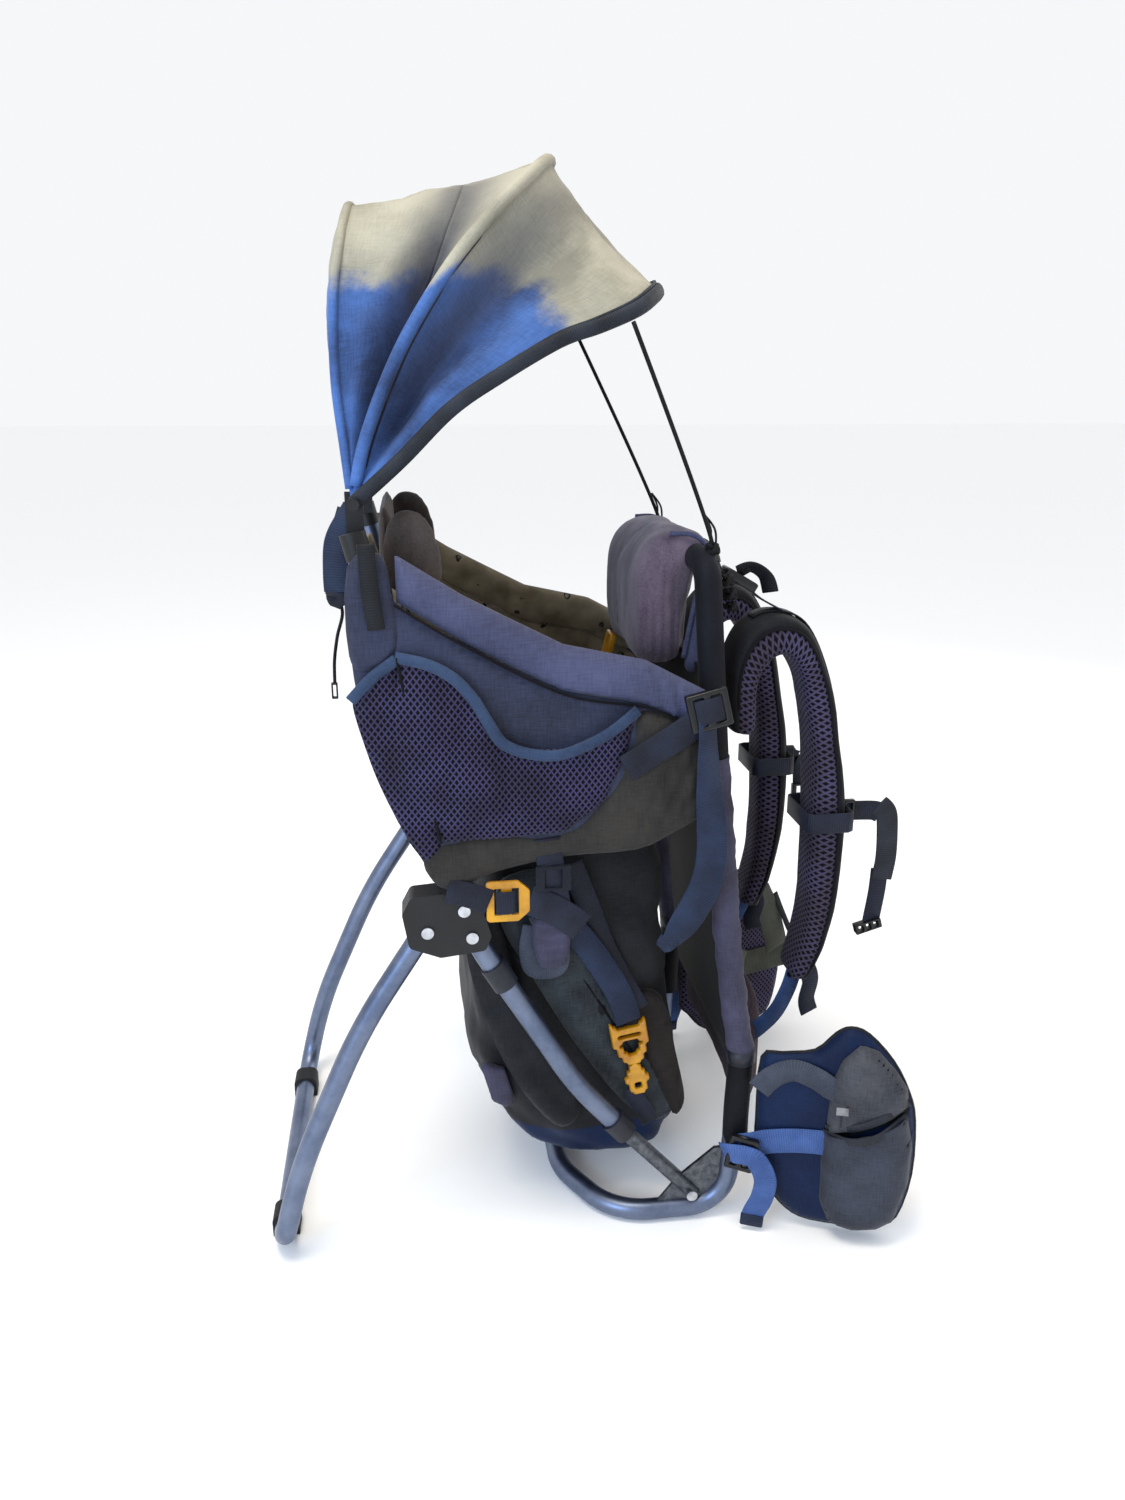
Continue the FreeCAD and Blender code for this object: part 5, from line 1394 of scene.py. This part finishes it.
def shoulder_straps():
    for name, side in SIDES:
        outer = smooth(mm([(x, 0, z) for x, z in STRAP_OUT]), 8)
        inner = smooth(mm([(x, 0, z) for x, z in STRAP_IN]), 8)
        loops = []
        count, last = 36, len(outer) - 1
        for i, (a, b) in enumerate(zip(outer, inner)):
            middle, way = (a + b) / 2, (a - b).normalized()
            end = crown(min(i, last - i) / last + 0.004, 0.05)
            thick = (a - b).length / 2 * (0.55 + 0.45 * end)
            wide = strap_half(i / last) * (0.7 + 0.3 * end)
            loop = []
            for k in range(count):
                t = 2 * math.pi * (k + 0.5) / count
                c, s = math.cos(t), math.sin(t)
                across = math.copysign(abs(c) ** 0.55, c) * wide
                high = math.copysign(abs(s) ** 0.7, s) * thick
                p = middle + way * high + Vector((0, side * STRAP_OFF + across, 0))
                groove = 0.0018 * math.exp(-((high / thick - 0.4) / 0.1) ** 2)
                loop.append(p - Vector((0, math.copysign(groove, c), 0)) + way * wrinkle(p, 0.05, 0.0012))
            loops.append(loop)
        pad = rings("shoulder_strap_%s_pad" % name, loops, PAD_MESH, "harness",
                    ["shoulder_strap_" + name])
        pad.data.materials.append(HARNESS)
        for index, face in enumerate(pad.data.polygons):
            t = 2 * math.pi * (index % count + 1) / count
            face.material_index = 1 if math.sin(t) > 0.30 else 0
        rail = [p + (p - q).normalized() * 0.0015 + Vector((0, side * STRAP_OFF, 0))
                for p, q in zip(outer, inner)]
        looks = [(p - q).normalized() for p, q in zip(outer, inner)]
        ribbon("strap_rail_" + name, rail[20:74], looks[20:74], 0.02, 0.002, BLACK_WEB, "harness")
        for edge in (-1, 1):
            line = [p.lerp(q, 0.30) + Vector((0, side * STRAP_OFF + edge * strap_half(i / last) * 0.985, 0))
                    for i, (p, q) in enumerate(zip(outer, inner))]
            tube("strap_piping_%s_%s" % (name, "in" if edge == -side else "out"), line[4:-4], 0.0014, NET,
                 "harness",
                 sides=PIPING_SIDES)
        # Load lifter: frame top to the strap's crest, through a black ladder lock.
        line = mm([(101, 96, 704), (116, 96, 697), (134, 96, 686), (152, 96, 672), (174, 96, 660)], side)
        ribbon("load_lifter_" + name, smooth(line), Vector((0.5, 0, 0.85)), 0.02, WEB_THICK, NAVY, None,
               ["load_lifters"], blend=("root", "harness", line[0], line[-1]))
        ladder_lock("lifter_buckle_" + name, Vector((0.130, side * 0.096, 0.691)), (0.026, 0.010, 0.036),
                    facing((0.5, 0, 0.85), (0.86, 0, -0.5)), BUCKLE, "harness")
        strap("lifter_tail_" + name, [(128, 98, 698), (142, 100, 703), (156, 101, 694), (162, 101, 678)],
              side, Vector((0.4, -side * 0.6, 0.7)), 0.018, BLACK_WEB, "harness")
        strap("lifter_anchor_" + name, [(100, 88, 702), (104, 90, 680), (102, 91, 655)], side,
              Vector((1, 0, 0.2)), 0.022, BLACK_WEB, "root")
        # Lower adjuster: blue webbing from the strap's end back to the frame.
        line = mm([(214, 98, 256), (207, 102, 236), (194, 106, 212), (178, 108, 196), (164, 108, 186),
                   (152, 106, 184)], side)
        ribbon("lower_strap_" + name, smooth(line), [Vector((0.35, side, 0.2))] * 41, 0.022, WEB_THICK,
               BLUE_WEB, None,
               ["lower_straps"], blend=("root", "harness", line[-1], line[0]))
        ladder_lock("lower_buckle_" + name, Vector((0.222, side * 0.098, 0.262)), (0.030, 0.009, 0.032),
                    facing((0.4, side, 0.2), (0.35, 0, 1)), BUCKLE, "harness")
        strap("lower_tail_" + name, [(226, 100, 262), (232, 102, 244), (228, 104, 222), (232, 105, 206)],
              side, Vector((0.3, side, 0)), 0.022, NAVY, "harness")
    lean = tilted_place(LEAN_FOOT, LEAN)
    yoke = [(-96, 252), (-98, 320), (-88, 362), (-40, 372), (0, 366), (40, 372), (88, 362), (98, 320),
            (96, 252),
            (40, 246), (0, 250), (-40, 246)]
    pad = pillow("shoulder_yoke_pad", plan(yoke, 3), 0.007, lean,
                 lambda u, v, d: 0.013 + 0.006 * crown(d, 0.02) + wrinkle(Vector((u, 3, v)), 0.04,
                                                                          0.0015) * crown(d, 0.02),
                 puffed(0.0045), [PAD_MESH, HARNESS], "harness", ["shoulder_yoke"])


def far_webbing():
    """Olive webbing joins the lumbar pad and the left strap's end to the left hip fin."""
    line = mm([(158, 122, 196), (186, 138, 168), (216, 160, 140), (246, 184, 116)])
    ribbon("hip_stabiliser_left", smooth(line), Vector((0.5, -1, 0.2)), 0.03, WEB_THICK, OLIVE_WEB, None,
           blend=("root", "hip_left", line[0], line[-1]))
    strap("strap_tail_left", [(236, 104, 258), (252, 116, 226), (266, 128, 190), (276, 138, 160)], 1,
          Vector((0.3, -1, 0.1)), 0.034, OLIVE_WEB, "harness")
    strap("strap_cord_left", [(262, 118, 248), (276, 124, 216), (290, 128, 186)], 1, Vector((0.3, -1, 0.1)),
          0.008, BLACK_WEB, "harness")


def sternum_straps():
    for name, side in SIDES:
        body = "sternum_" + name
        ring = [(256, 95, 440), (256, 126, 440), (251, 129.5, 440), (213, 129.5, 440), (207, 126, 440),
                (207, 64, 440), (213, 60.5, 440), (251, 60.5, 440), (256, 64, 440), (256.5, 96, 440)]
        line = mm(ring, side)
        middle = Vector((0.231, side * STRAP_OFF, 0.44))
        looks = [(p - middle).normalized() for p in line]
        ribbon("sternum_ring_" + name, line, looks, 0.022, WEB_THICK, NAVY, body,
               ["sternum_strap_" + name])
        reach = 298 if name == "right" else 272
        strap("sternum_band_" + name, [(255, 96, 441), (268, 97, 441), (reach - 8, 97, 440),
                                       (reach, 97, 437)], side, Vector((0, side, 0)), 0.022, NAVY, body)
        ladder_lock("sternum_lock_" + name, Vector((0.262, side * 0.0985, 0.441)), (0.012, 0.006, 0.027),
                    facing((0, side, 0), (0, 0, 1)), BUCKLE, body, bars=1)
        if name == "right":
            strap("sternum_fold_right", [(296, 97, 446), (305, 98, 436), (308, 98, 415), (309, 98, 385),
                                         (306, 98, 360)], side, Vector((0, side, 0)), 0.024, GREY_DARK,
                  body, thick=0.0022)
            strap("sternum_drop_right", [(304, 96, 372), (303, 96, 345), (300, 96, 318), (299, 96, 308)],
                  side, Vector((0, side, 0)), 0.02, NAVY, body)
            ladder_lock("sternum_buckle_right", Vector((0.2955, side * 0.096, 0.304)), (0.030, 0.010, 0.011),
                        facing((0, side, 0), (-0.3, 0, 1)), BUCKLE, body, bars=3)
        else:
            strap("sternum_drop_left", [(270, 97, 440), (277, 97, 425), (279, 97, 402)], side,
                  Vector((0, side, 0)), 0.02, NAVY, body)
            ladder_lock("sternum_buckle_left", Vector((0.279, side * 0.097, 0.397)), (0.022, 0.008, 0.016),
                        facing((0, side, 0), (0, 0, 1)), BUCKLE, body, bars=1)


# ---- hip belt ------------------------------------------------------------------------------------

FIN_OUT = [(2, 62), (0, 130), (2, 200), (22, 207), (56, 214), (76, 236), (90, 244), (108, 238), (134, 210),
           (152, 176), (161, 142), (163, 76), (152, 22), (134, 8), (116, 5), (62, 6), (36, 18), (16, 42)]
POUCH_OUT = [(70, 126), (96, 132), (124, 142), (152, 156), (160, 120), (160, 72), (150, 30), (132, 14),
             (104, 10), (80, 16), (70, 40), (68, 90)]
FLAP_OUT = [(72, 128), (98, 140), (128, 156), (152, 170), (150, 186), (136, 206), (118, 226), (100, 232),
            (84, 214), (74, 186)]


def hip_place(side):
    """Puts an outline drawn as (forward, up) on a hip fin's own upright plane."""
    slope = math.radians(18)
    ahead = Vector((math.cos(slope), side * math.sin(slope), 0))
    out = Vector((-math.sin(slope), side * math.cos(slope), 0))
    root = Vector((0.154, side * 0.177, 0))
    return lambda u, v, h: root + ahead * u + out * h + Vector((0, 0, v))


def on_fin(at, points):
    """A curve through points on a hip fin, written in millimetres."""
    return smooth([at(u / 1000, v / 1000, h / 1000) for u, v, h in points])


def hip_belt():
    for name, side in SIDES:
        body = "hip_" + name
        at = hip_place(side)
        out = at(0, 0, 1) - at(0, 0, 0)
        fin = pillow("hip_fin_%s_pad" % name, plan(FIN_OUT, 3), 0.006, at,
                     puffed(0.002, 0.0085, 0.016),
                     puffed(-0.002, -0.0085, 0.02),
                     [FIN, PAD_MESH], body, ["hip_fin_" + name])
        edge = [at(u, v, 0.0) for u, v in plan(FIN_OUT, 3)]
        tube("hip_piping_" + name, edge + edge[:1], 0.0022, BLACK_WEB, body, sides=PIPING_SIDES)
        sewn = flat(POUCH_OUT[3:] + POUCH_OUT[:1])

        def pouch(u, v):
            return (0.010 + 0.022 * crown(away(u, v, sewn), 0.032)
                    + wrinkle(Vector((u, side * 4, v)), 0.05, 0.003))

        pillow("hip_pocket_%s_cloth" % name, flat(POUCH_OUT), 0.005, at, lambda u, v, d: pouch(u, v),
               lambda u, v, d: pouch(u, v) - 0.0016, [POCKET, NET], body,
               ["hip_pocket_" + name])
        sewn_top = flat(FLAP_OUT[3:] + FLAP_OUT[:1])

        def flap(u, v):
            return (0.0105 + 0.015 * crown(away(u, v, sewn_top), 0.03)
                    + wrinkle(Vector((u, side * 6, v)), 0.035, 0.003))

        # The flap takes the paler lit copy of the pocket nylon: painted light.
        pillow("hip_pocket_%s_top" % name, flat(FLAP_OUT), 0.005, at, lambda u, v, d: flap(u, v),
               lambda u, v, d: flap(u, v) - 0.0016, [POCKET_PAINTED_LIT, NET], body)
        lip = [at(u, v - 0.002, pouch(u, v) + 0.0006) for u, v in flat(POUCH_OUT[:4])]
        ribbon("hip_zip_lower_" + name, smooth(lip), out, 0.010, 0.0024, GREY_DARK, body)
        lip = [at(u, v + 0.002, flap(u, v) + 0.0006) for u, v in flat(FLAP_OUT[:4])]
        ribbon("hip_zip_upper_" + name, smooth(lip), out, 0.009, 0.0024, GREY_DARK, body)
        inside = [(72, 120), (100, 124), (152, 150), (154, 176), (120, 170), (80, 150)]
        pillow("hip_pocket_%s_lining" % name, flat(inside), 0.007, at, puffed(0.0112),
               puffed(0.009),
               NET, body)
        # Pale webbing from the frame, through a ladder lock, over the fin.
        line = on_fin(at, [(-22, 98, 16), (-4, 102, 15), (14, 107, 13.5), (40, 111, 13), (62, 112, 12.5),
                           (74, 111, 12)])
        ribbon("hip_band_" + name, line, out, 0.030, WEB_THICK, PALE_WEB, body)
        ladder_lock("hip_lock_" + name, at(-0.014, 0.094, 0.021), (0.030, 0.008, 0.040),
                    facing(out, (0.2, 0, 1)),
                    BUCKLE, body)
        line = on_fin(at, [(-34, 92, 18), (-24, 96, 26), (-10, 96, 27), (2, 90, 26), (12, 68, 25),
                           (10, 44, 24), (2, 22, 23),
                 (0, 8, 23)])
        ribbon("hip_tail_" + name, line, out, 0.024, WEB_THICK, PALE_WEB, body)
        ribbon("hip_tail_hem_" + name, [at(0.001, 0.020, 0.0232), at(0.0, 0.006, 0.0232)], out, 0.0246,
               0.0034,
               BLUE_DARK, body)
        line = on_fin(at, [(0, 168, 12), (14, 186, 13), (34, 196, 13.5), (56, 190, 13.5), (76, 178, 14),
                           (92, 172, 15)])
        ribbon("hip_top_strap_" + name, line, out, 0.026, WEB_THICK, GREY_WEB, body)
        waist = ((52, 107), (80, 107), (120, 107), (146, 107)) if name == "right" else (
            (62, 107), (110, 107), (160, 107), (190, 106), (215, 105))
        line = [at(u / 1000, v / 1000, -0.0125 - 0.001 * (k % 2)) for k, (u, v) in enumerate(waist)]
        ribbon("waist_webbing_" + name, smooth(line), out, 0.038, WEB_THICK, OLIVE_WEB, body,
               ["waist_strap_" + name])
        # The zip's pull hangs from the slider.
        pull = at(0.084, 0.170, 0.0325)
        tube("hip_zip_pull_" + name, [pull, pull + out * 0.003 + Vector((0, 0, -0.006)),
                                      pull + out * 0.004 - Vector((0, 0, 0.02))],
             0.0013, GREY_DARK, "zip_slider" if name == "right" else body, sides=PIPING_SIDES)


seat_webbing()
shoulder_straps()
far_webbing()
sternum_straps()
hip_belt()
